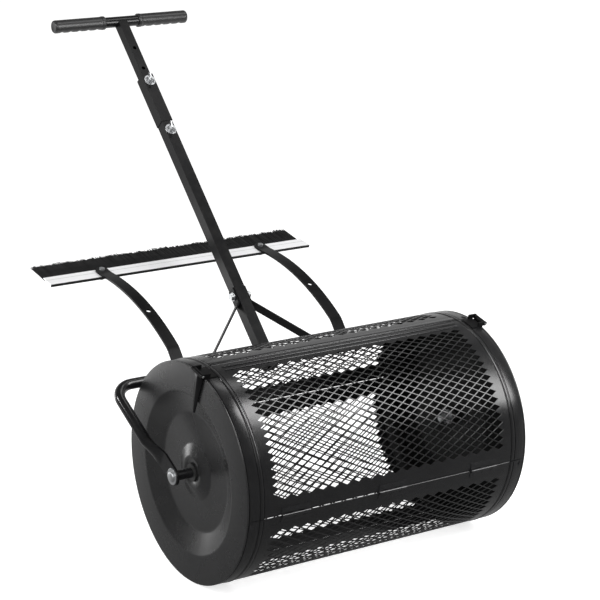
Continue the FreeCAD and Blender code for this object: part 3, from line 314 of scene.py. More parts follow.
# %% Group: dust
DUST_COLOR = (0.32, 0.3, 0.27, 1)

dust, start, end = new_group(
    "dust",
    [("Place", VECTOR, None), ("Normal", VECTOR, None), ("Amount", VALUE, 0.1), ("Color", COLOR, BLACK),
     ("Roughness", VALUE, 0.4)],
    [("Color", COLOR), ("Roughness", VALUE)])
axes = add(dust, "SeparateXYZ", sources={0: start.outputs["Normal"]})
upward = add(dust, "MapRange", {"From Min": -0.2, "From Max": 1}, {"Value": axes.outputs["Z"]})
patches = add(dust, "TexNoise", {"Scale": 60, "Detail": 6, "Roughness": 0.65},
              {"Vector": start.outputs["Place"]})
broken = add(dust, "MapRange", {"From Min": 0.42, "From Max": 0.75}, {"Value": patches})
there = add(dust, "Math", sources={0: upward, 1: broken}, operation="MULTIPLY")
thin = add(dust, "Math", sources={0: there, 1: start.outputs["Amount"]}, operation="MULTIPLY")
coated = add(dust, "Mix", {COLOR_B: DUST_COLOR},
             {"Factor": thin, COLOR_A: start.outputs["Color"]}, data_type="RGBA")
duller = add(dust, "Math", sources={0: start.outputs["Roughness"], 1: thin}, operation="ADD", use_clamp=True)
feed(dust, end, {"Color": coated.outputs[MIXED_COLOR], "Roughness": duller})
print(len(dust.nodes), "nodes in", dust.name)

# %% [markdown]
# Drawn and rolled metal carries fine lines along its length, from the die or the rolls. Noise on coordinates
# that are squeezed along one axis makes them. The Along input is that squeeze, axis by axis: the smaller its
# number, the longer the lines run that way.

# %% Group: drawn lines
drawn, start, end = new_group(
    "drawn_lines",
    [("Place", VECTOR, None), ("Along", VECTOR, (0.02, 1, 1)), ("Fine", VALUE, 700)],
    [("Line", VALUE), ("Broad", VALUE)])
squeezed = add(drawn, "VectorMath", sources={0: start.outputs["Place"], 1: start.outputs["Along"]},
               operation="MULTIPLY")
fine = add(drawn, "TexNoise", {"Detail": 3, "Roughness": 0.6},
           {"Vector": squeezed, "Scale": start.outputs["Fine"]})
broad = add(drawn, "TexNoise", {"Scale": 120, "Detail": 2}, {"Vector": squeezed})
feed(drawn, end, {"Line": fine, "Broad": broad})
print(len(drawn.nodes), "nodes in", drawn.name)

# %% [markdown]
# Every finish begins the same way: an empty material with its shader, and the place of each point in the
# object's own axes. Object coordinates stay with a piece when it moves, so its pattern doesn't slide. The
# second helper puts a group into a material, and the third turns a height into a bump under the shader.

# %% Helpers for finishes


def surface(name):
    """An empty material, its tree, its shader and its coordinates."""
    material = bpy.data.materials.new(name)
    material.use_nodes = True
    tree = material.node_tree
    where = add(tree, "TexCoord")
    return material, tree, tree.nodes["Principled BSDF"], where


def placed_group(tree, group, where, values):
    """A group in a material, fed with the object's coordinates."""
    return add(tree, "Group", values, {"Place": where.outputs["Object"]}, node_tree=group)


def relief(tree, shader, height, depth):
    """A bump of that depth in metres under the shader."""
    bump = add(tree, "Bump", {"Strength": 1, "Distance": depth}, {"Height": height})
    feed(tree, shader, {"Normal": bump.outputs["Normal"]})


print("shared effects:", ", ".join(group.name for group in (powder, dust, drawn)))

# %% [markdown]
# A painted finish is the powder coat, then dust, then the shader. One recipe makes all the paints, and only the
# values differ. The inside of the discs lies in the drum's shade, so it has a paint of its own: its darker
# colour is painted shade, and it is also rougher. The mirror strength of a coating is the same all over, so it
# is set on the shader's own socket.

# %% Painted finishes
PEEL_DEPTH = 0.000005
STREAK_SHARE = 2.5


def painted(name, dark, light, rough, drift, mirror, dusty, grain=900, streaks=None):
    """A baked black paint. streaks squeezes the faint lines of drawn metal under it, axis by axis."""
    material, tree, shader, where = surface(name)
    coat = placed_group(tree, powder, where, {"Dark": (*dark, 1), "Light": (*light, 1), "Rough": rough,
                                              "Drift": drift, "Grain": grain})
    settled = placed_group(tree, dust, where, {"Amount": dusty})
    feed(tree, settled, {"Normal": where.outputs["Normal"], "Color": coat.outputs["Color"],
                         "Roughness": coat.outputs["Roughness"]})
    feed(tree, shader, {"Base Color": settled.outputs["Color"], "Roughness": settled.outputs["Roughness"]})
    height = coat.outputs["Height"]
    if streaks:
        lines = placed_group(tree, drawn, where, {"Along": streaks})
        mixed = add(tree, "Math", {1: STREAK_SHARE}, {0: lines.outputs["Broad"], 2: height},
                    operation="MULTIPLY_ADD")
        height = mixed
    relief(tree, shader, height, PEEL_DEPTH)
    shader.inputs["Specular IOR Level"].default_value = mirror
    return material


satin_black = painted("satin_black_paint", (0.003, 0.003, 0.0033), (0.006, 0.006, 0.0063),
                      rough=0.36, drift=0.12, mirror=0.1, dusty=0.015)
mast_paint = painted("mast_paint", (0.006, 0.006, 0.0065), (0.010, 0.010, 0.0105),
                     rough=0.32, drift=0.14, mirror=0.12, dusty=0.03, streaks=(1, 0.03, 0.03))
tube_paint = painted("tube_paint", (0.004, 0.004, 0.0045), (0.008, 0.008, 0.0085),
                     rough=0.2, drift=0.06, mirror=0.42, dusty=0.02)
# Painted shade: the inside of the discs is painted darker for the shade inside the drum, and it is rougher too.
inside_paint = painted("inside_paint", (0.003, 0.003, 0.003), (0.005, 0.005, 0.005),
                       rough=0.5, drift=0.08, mirror=0.15, dusty=0.01, grain=600)
disc_paint = painted("disc_paint", (0.011, 0.011, 0.0115), (0.017, 0.017, 0.0175),
                     rough=0.27, drift=0.08, mirror=0.6, dusty=0.03, grain=600)
mesh_paint = painted("mesh_paint", (0.005, 0.005, 0.0055), (0.009, 0.009, 0.0095),
                     rough=0.24, drift=0.06, mirror=0.55, dusty=0.02)
fastener_paint = painted("fastener_paint", (0.006, 0.006, 0.0065), (0.011, 0.011, 0.012),
                         rough=0.18, drift=0.06, mirror=0.6, dusty=0.02)
print("paints:", satin_black.name, mast_paint.name, tube_paint.name, disc_paint.name, mesh_paint.name)

# %% [markdown]
# Bright zinc on bolts and washers is a metal with a slightly cloudy mirror, without any direction. The
# channel is drawn aluminium, with fine lines along it, mainly in roughness and relief. The aluminium has a
# clear anodised skin, which scatters some light, so it isn't a full mirror.

# %% Metal finishes
NO_DIRECTION = (1, 1, 1)
SMOOTHER, ROUGHER = 0.07, 0.09


def bare_metal(name, dark, light, rough, fine, along, depth, metallic=1):
    """A metal whose roughness follows its drawn lines."""
    material, tree, shader, where = surface(name)
    lines = placed_group(tree, drawn, where, {"Along": along, "Fine": fine})
    tone = add(tree, "Mix", {COLOR_A: (*dark, 1), COLOR_B: (*light, 1)},
               {"Factor": lines.outputs["Broad"]}, data_type="RGBA")
    level = add(tree, "MapRange", {"To Min": rough - SMOOTHER, "To Max": rough + ROUGHER},
                {"Value": lines.outputs["Line"]})
    feed(tree, shader, {"Base Color": tone.outputs[MIXED_COLOR], "Roughness": level})
    relief(tree, shader, lines.outputs["Line"], depth)
    shader.inputs["Metallic"].default_value = metallic
    return material


zinc = bare_metal("bright_zinc", (0.5, 0.51, 0.52), (0.64, 0.65, 0.66),
                  rough=0.42, fine=400, along=NO_DIRECTION, depth=0.000002)
# A darker zinc: its colour is painted shade, for the small parts that lie in the drum's shade.
dull_zinc = bare_metal("dull_zinc", (0.2, 0.2, 0.21), (0.34, 0.34, 0.35),
                       rough=0.4, fine=400, along=NO_DIRECTION, depth=0.000003)
aluminium = bare_metal("drawn_aluminium", (0.86, 0.86, 0.87), (0.95, 0.95, 0.955),
                       rough=0.36, fine=900, along=(0.015, 1, 1), depth=0.000005, metallic=0.25)
print("metals:", zinc.name, dull_zinc.name, aluminium.name)

# %% [markdown]
# Rubber grips have a fine matt grain, and the nylon of the bushes is smoother. Each bristle is dull, and
# what light the brush catches comes from there being so many, at slightly different tilts. The last lines
# say which finish each material slot of the model takes.

# %% Rubber, nylon and bristles


def moulded(name, dark, light, rough, grain, depth, mirror):
    """A moulded plastic or rubber: the powder coat's grain and clouds, without dust."""
    material, tree, shader, where = surface(name)
    coat = placed_group(tree, powder, where, {"Dark": (*dark, 1), "Light": (*light, 1), "Rough": rough,
                                              "Drift": 0.1, "Grain": grain})
    feed(tree, shader, {"Base Color": coat.outputs["Color"], "Roughness": coat.outputs["Roughness"]})
    relief(tree, shader, coat.outputs["Height"], depth)
    shader.inputs["Specular IOR Level"].default_value = mirror
    return material


rubber = moulded("grip_rubber", (0.014, 0.014, 0.0145), (0.022, 0.022, 0.0225),
                 rough=0.36, grain=1600, depth=0.00001, mirror=0.7)
nylon = moulded("black_nylon", (0.02, 0.02, 0.02), (0.03, 0.03, 0.03),
                rough=0.4, grain=700, depth=0.00002, mirror=0.4)
filament = moulded("bristle_filament", (0.005, 0.005, 0.005), (0.022, 0.022, 0.0225),
                   rough=0.6, grain=300, depth=0.000005, mirror=0.12)
FINISH = {"black_steel": satin_black, "cap_steel": disc_paint, "black_fastener": fastener_paint,
          "zinc_steel": zinc, "nylon": nylon, "grip_rubber": rubber, "channel_aluminium": aluminium,
          "bristle_nylon": filament}
print("finishes by slot:", sorted(FINISH))

# %% [markdown]
# ## Making pieces
# Every new piece ends the same way. Its faces are smoothed except across real corners, it rides on the body
# of the node that it stands for, and it takes the finish that it is given and that node's name with an ending.

# %% Helper: finish a piece
replaced = set()


def finish_piece(bm, node, ending, material, corner=38):
    """Make an object of a bmesh. It is named after its node, rides where it does and replaces it."""
    name = node + ending
    bm.normal_update()
    limit = math.radians(corner)
    for face in bm.faces:
        face.smooth = True
    for edge in bm.edges:
        edge.smooth = len(edge.link_faces) != 2 or edge.calc_face_angle() < limit
    mesh = bpy.data.meshes.new(name)
    bm.to_mesh(mesh)
    bm.free()
    mesh.materials.append(material)
    piece = bpy.data.objects.new(name, mesh)
    bpy.context.collection.objects.link(piece)
    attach(piece, BODY_OF[node])
    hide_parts(node)
    replaced.add(node)
    print(name, "-", len(mesh.polygons), "faces for", node)
    return piece


print(len(SLOT_OF), "nodes to dress")

# %% [markdown]
# ## The mesh panels
# Expanded metal is sheet that is slit and pulled open, so its diamonds are all alike and staggered row by
# row. An image with holes would leave the strands without thickness, so each panel is modelled, at first
# flat. A square grid turned by 45 degrees and stretched gives the staggered diamonds, and the planes of the
# panel's edges trim it.

# %% A flat sheet of diamonds
GRID_CELLS = 48
MESH_ROWS = 18
PLAIN_MARGIN = 8
PITCH_X = 0.026
PITCH_Y = math.radians(90 - 2 * PLAIN_MARGIN) * PANEL_RADIUS / MESH_ROWS
SHEET_END = 0.2684


def diamond_sheet():
    """A flat sheet cut into diamonds, trimmed to the panel's size."""
    bm = bmesh.new()
    bmesh.ops.create_grid(bm, x_segments=GRID_CELLS, y_segments=GRID_CELLS, size=GRID_CELLS / 2)
    bmesh.ops.rotate(bm, verts=bm.verts, cent=(0, 0, 0), matrix=Matrix.Rotation(math.radians(45), 3, "Z"))
    bmesh.ops.scale(bm, verts=bm.verts, vec=(PITCH_X / math.sqrt(2), PITCH_Y / math.sqrt(2), 1))
    bmesh.ops.translate(bm, verts=bm.verts, vec=(PITCH_X / 4, 0, 0))
    for edge in ((SHEET_END, 0, 0), (-SHEET_END, 0, 0), (0, HALF_ARC, 0), (0, -HALF_ARC, 0)):
        bmesh.ops.bisect_plane(bm, geom=bm.verts[:] + bm.edges[:] + bm.faces[:], dist=0.00001,
                               plane_co=edge, plane_no=Vector(edge).normalized(), clear_outer=True)
    return bm


print("mesh pitch", PITCH_X, "by", round(PITCH_Y, 5))

# %% [markdown]
# Two operators come back all the time from here on. An extrusion that keeps its first faces pushes a copy of
# them along a way, which turns a sheet into a plate and an outline into a bar. A bevel rounds edges, or the
# corners of a wire. In a script a bevel has to be told what the editor assumes, so a helper says it once.

# %% Helpers: push faces and round edges


def pushed(bm, faces, way):
    """Extrude faces along a way, with the first faces kept."""
    grown = bmesh.ops.extrude_face_region(bm, geom=faces, use_keep_orig=True)
    moved = [item for item in grown["geom"] if isinstance(item, bmesh.types.BMVert)]
    bmesh.ops.translate(bm, verts=moved, vec=way)


def rounded(bm, geom, offset, segments, affect="EDGES"):
    """Bevel edges or corners by an offset in metres."""
    bmesh.ops.bevel(bm, geom=geom, offset=offset, offset_type="OFFSET", segments=segments, profile=0.5,
                    affect=affect, clamp_overlap=True, material=-1)


print("a panel's wall is", PANEL_WALL)

# %% [markdown]
# The windows are the diamonds inside the margins. An individual inset leaves half a strand round each one,
# and the inner face is removed. The sheet then gets its thickness, and the outer rim of every window is
# bevelled, as the pulled strands are rounded. A window keeps only a couple of dozen faces, because there are
# hundreds.

# %% Cut the windows and give the sheet its thickness
STRAND = 0.0023
STRAND_ROUNDING = 0.0004
REACH_X = 0.2406
REACH_Y = (MESH_ROWS - 1) / 2 * PITCH_Y + 0.0001


def cut_windows(bm):
    """Open the diamonds of the mesh field. Returns how many there are."""
    windows = []
    for face in bm.faces:
        middle = face.calc_center_median()
        if abs(middle.x) < REACH_X and abs(middle.y) < REACH_Y and len(face.verts) == 4:
            windows.append(face)
    bmesh.ops.inset_individual(bm, faces=windows, thickness=STRAND / 2, depth=0, use_even_offset=True)
    bmesh.ops.delete(bm, geom=windows, context="FACES")
    return len(windows)


def thicken(bm):
    """Push the sheet inwards by its wall and round the outer rim of the windows."""
    pushed(bm, bm.faces[:], (0, 0, -PANEL_WALL))
    bmesh.ops.recalc_face_normals(bm, faces=bm.faces)
    rims = []
    for edge in bm.edges:
        if len(edge.link_faces) == 2 and all(abs(vert.co.z) < 1e-6 for vert in edge.verts):
            flat, steep = sorted((abs(face.normal.z) for face in edge.link_faces), reverse=True)
            if steep < 0.1 and flat > 0.9:
                rims.append(edge)
    rounded(bm, rims, STRAND_ROUNDING, 1)


print("windows lie within", REACH_X, "and", round(REACH_Y, 4), "of a panel's middle")

# %% [markdown]
# Beside the mesh field each panel has a rolled end: a dark groove, a raised bead, a second groove and a
# plain band up to the end disc. It is one profile, pushed along the panel's edge, with enough cuts along its
# length to follow the drum. Beads that run along the drum are bars with rounded tops, sunk halfway into the
# sheet.

# %% Rolled ends and raised beads
BAND_CUTS = 47
BEAD_HEIGHT = 0.0019
# Distance from the drum's middle, and height over the sheet
BAND_PROFILE = [(0.2680, 0.0), (0.2682, -0.00105), (0.2698, -0.00105), (0.2702, 0.0001), (0.2709, 0.0006),
                (0.2721, 0.0008), (0.2745, 0.0008), (0.2757, 0.0006), (0.2764, 0.0001),
                (0.2768, -0.00105), (0.2784, -0.00105), (0.2788, 0.0), (0.2978, 0.0), (0.2985, -0.0003),
                (0.2987, -0.0012), (0.2680, -0.0012)]


def rolled_end(bm, side):
    """The bead and band at one end of a flat panel."""
    ring = [bm.verts.new((side * x, -HALF_ARC, z)) for x, z in BAND_PROFILE]
    pushed(bm, [bm.faces.new(ring)], (0, 2 * HALF_ARC, 0))
    near = set(ring)
    lengthwise = [edge for vert in ring for edge in vert.link_edges if edge.other_vert(vert) not in near]
    bmesh.ops.subdivide_edges(bm, edges=lengthwise, cuts=BAND_CUTS)


def raised_bead(bm, x_from, x_to, angle, width):
    """A long rounded bead along X on a flat panel, at an angle from the panel's middle."""
    y = math.radians(angle) * PANEL_RADIUS
    bar = bmesh.ops.create_cube(bm, size=1)["verts"]
    bmesh.ops.scale(bm, verts=bar, vec=(x_to - x_from, width, BEAD_HEIGHT * 2))
    bmesh.ops.translate(bm, verts=bar, vec=((x_from + x_to) / 2, y, 0))
    edges = {edge for vert in bar for edge in vert.link_edges
             if edge.verts[0] in bar and edge.verts[1] in bar}
    top = [edge for edge in edges if all(vert.co.z > 0 for vert in edge.verts)]
    ends = [edge for edge in edges if abs(edge.verts[0].co.z - edge.verts[1].co.z) > BEAD_HEIGHT]
    rounded(bm, top + ends, BEAD_HEIGHT * 0.9, 3)


print("a rolled end has", len(BAND_PROFILE), "corners and", BAND_CUTS, "cuts along it")

# %% [markdown]
# What was modelled flat is now rolled onto the drum. The distance along Y becomes an angle, and the height
# over the sheet is added to the radius, so grooves and beads keep their true depth. Four panels close the
# drum, and each middle lies at a set angle from the seam at the hinge. The door has two thin beads along its
# free edge, and the panel behind it one broad ridge that the door closes against.

# %% Wrap the panels round the drum
PANELS = {"drum_door": 45, "panel_rear_upper": 135, "panel_rear_lower": 225, "panel_front_lower": 315}
# Start and end along the drum, angle from the seam, and width of each bead
BEADS = {"drum_door": [(-0.253, 0.257, 83.8, 0.0052), (-0.253, 0.257, 87.0, 0.0052)],
         "panel_rear_upper": [(-0.268, 0.268, 91.95, 0.0112)]}


def wrap(bm, centre):
    """Roll what was modelled flat onto the drum, with its middle at that angle."""
    middle = math.radians(centre)
    for vert in bm.verts:
        angle = middle + vert.co.y / PANEL_RADIUS
        radius = PANEL_RADIUS + vert.co.z
        vert.co = (vert.co.x, -radius * math.cos(angle), AXLE.z + radius * math.sin(angle))


for node, turn in PANELS.items():
    bm = diamond_sheet()
    count = cut_windows(bm)
    thicken(bm)
    for side in SIDES.values():
        rolled_end(bm, side)
    for x_from, x_to, angle, width in BEADS.get(node, ()):
        raised_bead(bm, x_from, x_to, angle - turn, width)
    wrap(bm, SEAM_ANGLE + turn)
    bmesh.ops.recalc_face_normals(bm, faces=bm.faces)
    finish_piece(bm, node, "_mesh", mesh_paint, corner=40)
    print("  windows:", count)

# %% [markdown]
# ## Round parts
# Discs, pins and grips are turned or pressed round, so each is half an outline that is spun about its axis.
# A full spin has to merge its last step with its first. Points on the axis itself become one, and the
# normals are worked out again, because a spin can turn a shape inside out.

# %% Helpers: a wire and a full turn


def wire(bm, points):
    """Vertices at the points and the edges between them."""
    verts = [bm.verts.new(point) for point in points]
    edges = [bm.edges.new(pair) for pair in zip(verts, verts[1:])]
    return verts, edges


def full_turn(bm, centre, steps):
    """Spin what is there about an axis along X, and close it."""
    bmesh.ops.spin(bm, geom=bm.verts[:] + bm.edges[:], cent=centre, axis=(1, 0, 0), dvec=(0, 0, 0),
                   angle=math.radians(360), steps=steps, use_merge=True, use_duplicate=False)
    bmesh.ops.remove_doubles(bm, verts=bm.verts, dist=0.00001)
    bmesh.ops.recalc_face_normals(bm, faces=bm.faces)


print("the drum's axle is at", tuple(AXLE))

# %% [markdown]
# ## The pressed end discs
# Each disc is one pressing: a flange inside the panels, a rounded rim, a flat ring, a deep dish and a raised
# hub. The rim ends in a narrow bead, and the groove behind it is the black line beside the panels. Half of
# the outline is drawn as a wire, vertex bevels give the press radii, and a full spin makes the skin.
# Solidify adds the sheet's thickness inwards, so the flange stays inside the panels, and its material offset
# puts the second paint on the inside: its darker colour is painted shade for the drum's dark inside, and it is
# also rougher. The skin is open at the hub, so its outside has to be chosen: the flange must face away from
# the axle.

# %% End discs
DISC_WALL = 0.0015
DISC_STEPS = 160
# Depth behind the disc's face, and radius
DISC_OUTLINE = [(0.036, 0.2005), (0.0036, 0.2005), (0.0026, 0.2022), (0, 0.2022), (0, 0.149),
                (0.018, 0.109), (0.018, 0.052), (0.010, 0.030), (0.010, 0.0101)]
PRESS_RADIUS = {1: 0.0004, 2: 0.0008, 3: 0.0013, 4: 0.002, 5: 0.003, 6: 0.002, 7: 0.0015}

for name, side in SIDES.items():
    bm = bmesh.new()
    outline = [(side * (HALF_LENGTH - depth), 0, AXLE.z + radius) for depth, radius in DISC_OUTLINE]
    corners, _ = wire(bm, outline)
    for index, size in PRESS_RADIUS.items():
        rounded(bm, [corners[index]], size, 6, affect="VERTICES")
    full_turn(bm, AXLE, DISC_STEPS)
    bm.normal_update()
    flange = max(bm.faces, key=lambda face: (face.calc_center_median() - AXLE).yz.length)
    outwards = flange.calc_center_median() - AXLE
    if flange.normal.dot(Vector((0, outwards.y, outwards.z))) < 0:
        bmesh.ops.reverse_faces(bm, faces=bm.faces)
    disc = finish_piece(bm, f"end_cap_{name}", "_pressed", disc_paint, corner=50)
    # The second slot holds painted shade: the inside of the disc is darker because it lies in the drum's shade.
    disc.data.materials.append(inside_paint)
    wall = disc.modifiers.new("sheet", "SOLIDIFY")
    wall.thickness = DISC_WALL
    wall.offset = -1
    wall.material_offset = 1

# %% [markdown]
# ## Softened copies
# Real metal parts have no razor edges. Their small roundings catch the bright lines by which an eye reads
# steel. A part whose shape is already right is copied from its node, its loose triangles are merged, flat
# neighbours are joined, and a live Bevel rounds the corners. Hardened normals keep the flats flat.

# %% Helper: soften the edges of a node
SHARP = 32
MERGE_WITHIN = 0.000005
FLAT_WITHIN = math.radians(0.5)


def softened(node, material, width, segments=3, corner=SHARP, join=True):
    """A copy of a node with merged faces and rounded edges. Small turned parts aren't joined into flats."""
    bm = bmesh.new()
    bm.from_mesh(frame["nodes"][node].data)
    bmesh.ops.remove_doubles(bm, verts=bm.verts, dist=MERGE_WITHIN)
    if join:
        bmesh.ops.dissolve_limit(bm, angle_limit=FLAT_WITHIN, use_dissolve_boundaries=False, verts=bm.verts,
                                 edges=bm.edges, delimit={"NORMAL"})
    piece = finish_piece(bm, node, "_finished", material, corner=corner)
    rounding = piece.modifiers.new("rounded_edges", "BEVEL")
    rounding.width = width
    rounding.segments = segments
    rounding.limit_method = "ANGLE"
    rounding.angle_limit = math.radians(corner)
    rounding.harden_normals = True


print("edges sharper than", SHARP, "degrees are rounded")

# %% [markdown]
# ## The axle ends
# Outside each arm a bright washer sits under a low domed head. The head is spun from half of its outline,
# together with the pin that runs into the drum. The washers and the black spacer tube only need rounder
# edges than their solids have.

# %% Axle pins, spacers and washers
PIN_STEPS = 48
# Distance from the tip or the inner end, and radius
PIN_END = [(0, 0), (0.0008, 0.0062), (0.002, 0.007)]
PIN_HEAD = [(0.0041, 0.007), (0.004, 0.0096), (0.0024, 0.0096), (0.0012, 0.0088), (0.0004, 0.0068),
            (0.0001, 0.0038), (0, 0)]

for name, side in SIDES.items():
    low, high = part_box(f"axle_pin_{name}")
    inner_x, tip_x = (high[0], low[0]) if side < 0 else (low[0], high[0])
    outline = [(inner_x + side * depth, 0, AXLE.z + radius) for depth, radius in PIN_END]
    outline += [(tip_x - side * depth, 0, AXLE.z + radius) for depth, radius in PIN_HEAD]
    bm = bmesh.new()
    wire(bm, outline)
    full_turn(bm, AXLE, PIN_STEPS)
    finish_piece(bm, f"axle_pin_{name}", "_domed", zinc)
    softened(f"axle_spacer_{name}", fastener_paint, width=0.0004)
softened("axle_washers_outer", zinc, width=0.0005, join=False)

# %% [markdown]
# ## Hinges, latches and screws
# The butt hinges and latch brackets are thin bent sheet, and the screws and rivets have plain heads. Their
# solids already have the right outlines, so they are softened copies. Only the latch pins are left bright.

# %% Small steel parts
for node in ("hinge_leaves_panel", "hinge_leaves_door", "hinge_pins", "hinge_rivets_panel",
             "hinge_rivets_door", "panel_screws"):
    softened(node, fastener_paint, width=0.0003, segments=2)
for name in SIDES:
    softened(f"latch_bracket_{name}", satin_black, width=0.0006)
    softened(f"latch_pin_{name}", zinc, width=0.0004)

# %% [markdown]
# The levers aren't right as plain plates: on the real machine each is pressed to a V with a ridge down its
# middle, so that one face is lit and the other dark. The nine vertices of a small grid are set along the
# lever's own axes, taken from its joint, and an extrusion gives the sheet's thickness. A short rod at the
# top is the knuckle that turns on the pin.

# %% Latch levers
# Drop below the pivot, half width and height of the ridge, row by row
LEVER_ROWS = [(-0.0035, 0.0133, 0.0014), (0.012, 0.0135, 0.0030), (0.0805, 0.0030, 0.0012)]
LEVER_WALL = 0.0016
LEVER_STANDOFF = 0.0034
LEVER_ROUNDING = 0.0005
KNUCKLE_RADIUS, KNUCKLE_LENGTH = 0.0038, 0.0266

for name, side in SIDES.items():
    joint = JOINT[f"latch_{name}_pivot"]
    pivot = Vector(joint["pos_m"])
    along = Vector(joint["axis"]).normalized()
    down = (AXLE - Vector((0, pivot.y, pivot.z))).normalized()
    out = Vector((side, 0, 0))
    base = Vector((side * (HALF_LENGTH + LEVER_STANDOFF), pivot.y, pivot.z))
    bm = bmesh.new()
    bmesh.ops.create_grid(bm, x_segments=2, y_segments=2, size=1)
    for vert in bm.verts:
        drop, half_width, ridge = LEVER_ROWS[round(vert.co.y) + 1]
        column = round(vert.co.x)
        lift = ridge if column == 0 else 0
        vert.co = base + down * drop + along * (column * half_width) + out * lift
    pushed(bm, bm.faces[:], -out * LEVER_WALL)
    bmesh.ops.recalc_face_normals(bm, faces=bm.faces)
    rounded(bm, bm.edges[:], LEVER_ROUNDING, 2)
    turn = along.to_track_quat("Z", "Y").to_matrix().to_4x4()
    bmesh.ops.create_cone(bm, cap_ends=True, segments=28, radius1=KNUCKLE_RADIUS, radius2=KNUCKLE_RADIUS,
                          depth=KNUCKLE_LENGTH, matrix=Matrix.Translation(pivot) @ turn)
    finish_piece(bm, f"latch_lever_{name}", "_ridged", satin_black)

# %% [markdown]
# ## The tube frame, mast and braces
# These are plain stock: bent round tube with flattened ears, square tube, and flat bar. The bent tube is
# glossier than the rest, as the photograph shows it. The square tubes get a generous corner radius, because
# drawn square tube has one.

# %% Frame and mast
softened("frame_tube", tube_paint, width=0.0006, corner=30)
for node in ("mast_lower", "mast_upper"):
    softened(node, mast_paint, width=0.0016, segments=4)
softened("mast_sleeve", mast_paint, width=0.0010)
for name in SIDES:
    softened(f"brace_{name}", satin_black, width=0.0006)
softened("t_bar", tube_paint, width=0.0003)

# %% [markdown]
# The wing screws, bolts and nuts are bright zinc. They are small, so their faces stay as they come from the
# solid, and only the flat washers under the wings have theirs joined.

# %% Screws of the frame
softened("wing_washers", zinc, width=0.0004, segments=2)
for node in ("wing_screws", "brace_bolt", "brace_nut", "cross_tube_bolts", "cross_tube_nuts"):
    softened(node, zinc, width=0.0004, segments=2, join=False)

# %% [markdown]
# ## The grips
# A rubber grip is moulded: a closed end with a shallow dish, a plain barrel, five finger grooves on its
# underside and a thicker collar at its inner end. The barrel is spun, with closely spaced rings, and then
# the grooves are pressed in by moving the rings' lower vertices towards the bar, deepest straight below.

# %% Grips
GROOVES, GROOVE_PITCH, GROOVE_DEPTH, GROOVE_REACH = 5, 0.020, 0.0019, 0.0065
BARREL = 0.0133
BARREL_RINGS, GRIP_STEPS = 70, 56
BAR_RADIUS = 0.012
# Distance from the outer end, and radius, for the closed end. The same from the inner end for the collar
GRIP_END = [(0.0012, 0.0), (0.0011, 0.004), (0.0005, 0.0078), (0.0, 0.0098), (0.0005, 0.0116),
            (0.0018, 0.0128), (0.0040, BARREL)]
GRIP_COLLAR = [(0.0075, BARREL), (0.0068, 0.01385), (0.0060, 0.014), (0.0012, 0.014), (0.0003, 0.0136),
               (0, 0.0128), (0, 0.0111)]
under_bar = Vector((0, 0.25, -1)).normalized()

for name, side in SIDES.items():
    low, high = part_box(f"grip_{name}")
    centre = Vector((0, (low[1] + high[1]) / 2, (low[2] + high[2]) / 2))
    outer_x, inner_x = (low[0], high[0]) if side < 0 else (high[0], low[0])
    length = abs(outer_x - inner_x)
    outline = GRIP_END + [(length - depth, radius) for depth, radius in GRIP_COLLAR]
    bm = bmesh.new()
    _, edges = wire(bm, [(outer_x - side * depth, centre.y, centre.z + radius) for depth, radius in outline])
    barrel_edge = edges[len(GRIP_END) - 1]
    bmesh.ops.subdivide_edges(bm, edges=[barrel_edge], cuts=BARREL_RINGS)
    full_turn(bm, centre, GRIP_STEPS)
    first = (length - (GROOVES - 1) * GROOVE_PITCH) / 2
    for vert in bm.verts:
        depth = abs(vert.co.x - outer_x)
        radial = vert.co - Vector((vert.co.x, centre.y, centre.z))
        nearest = min(abs(depth - first - k * GROOVE_PITCH) for k in range(GROOVES))
        if radial.length > BAR_RADIUS and nearest < GROOVE_REACH:
            below = max(0, radial.normalized().dot(under_bar))
            press = GROOVE_DEPTH * (0.5 + 0.5 * math.cos(math.pi * nearest / GROOVE_REACH)) * below ** 2.4
            vert.co -= radial.normalized() * press
    finish_piece(bm, f"grip_{name}", "_moulded", rubber, corner=60)

# %% [markdown]
# ## The brush
# Two flat arms carry a bright channel. The channel holds the bristles, which stand out to the rear in a long
# strip, tilted up a little. All of the brush is measured from one point, its seat on top of the channel,
# along its own two directions. The seat comes from the box of the plain bristle block.

# %% The brush's own directions
TILT = math.radians(12)
brush_along = Vector((0, math.cos(TILT), math.sin(TILT)))
brush_up = Vector((0, -math.sin(TILT), math.cos(TILT)))
NEAR, FAR, UNDER, OVER = 0.0135, 0.085, -0.0105, -0.0015
low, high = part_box("brush_bristles")
brush_seat = Vector((0, low[1] - NEAR * math.cos(TILT) + OVER * math.sin(TILT),
                     low[2] - NEAR * math.sin(TILT) - UNDER * math.cos(TILT)))
row_start, row_end = low[0], high[0]
print("brush seat", tuple(round(value, 4) for value in brush_seat))

# %% [markdown]
# The die that drew the channel left a shallow line along its back, and the front fold of the channel lies in its
# own shadow and looks black. Their darkness is painted shade: strips at a set distance along the channel's depth.
# The fine one is only a little darker, as a groove full of shadow is, and the broader one at the front is nearly
# black, for the fold's shadow. They are painted over the aluminium's own colour, between its tone and its shader.

# %% Painted shade of the die line and the front fold
FRONT_FOLD_SHADE, DIE_LINE_SHADE = -0.014, 0.0074
# Input, half width and painted shade of each strip
SHADE_STRIPS = (("Line", 0.0006, 0.45), ("Front", 0.0016, 0.012))
SOLID_SHARE = 0.8
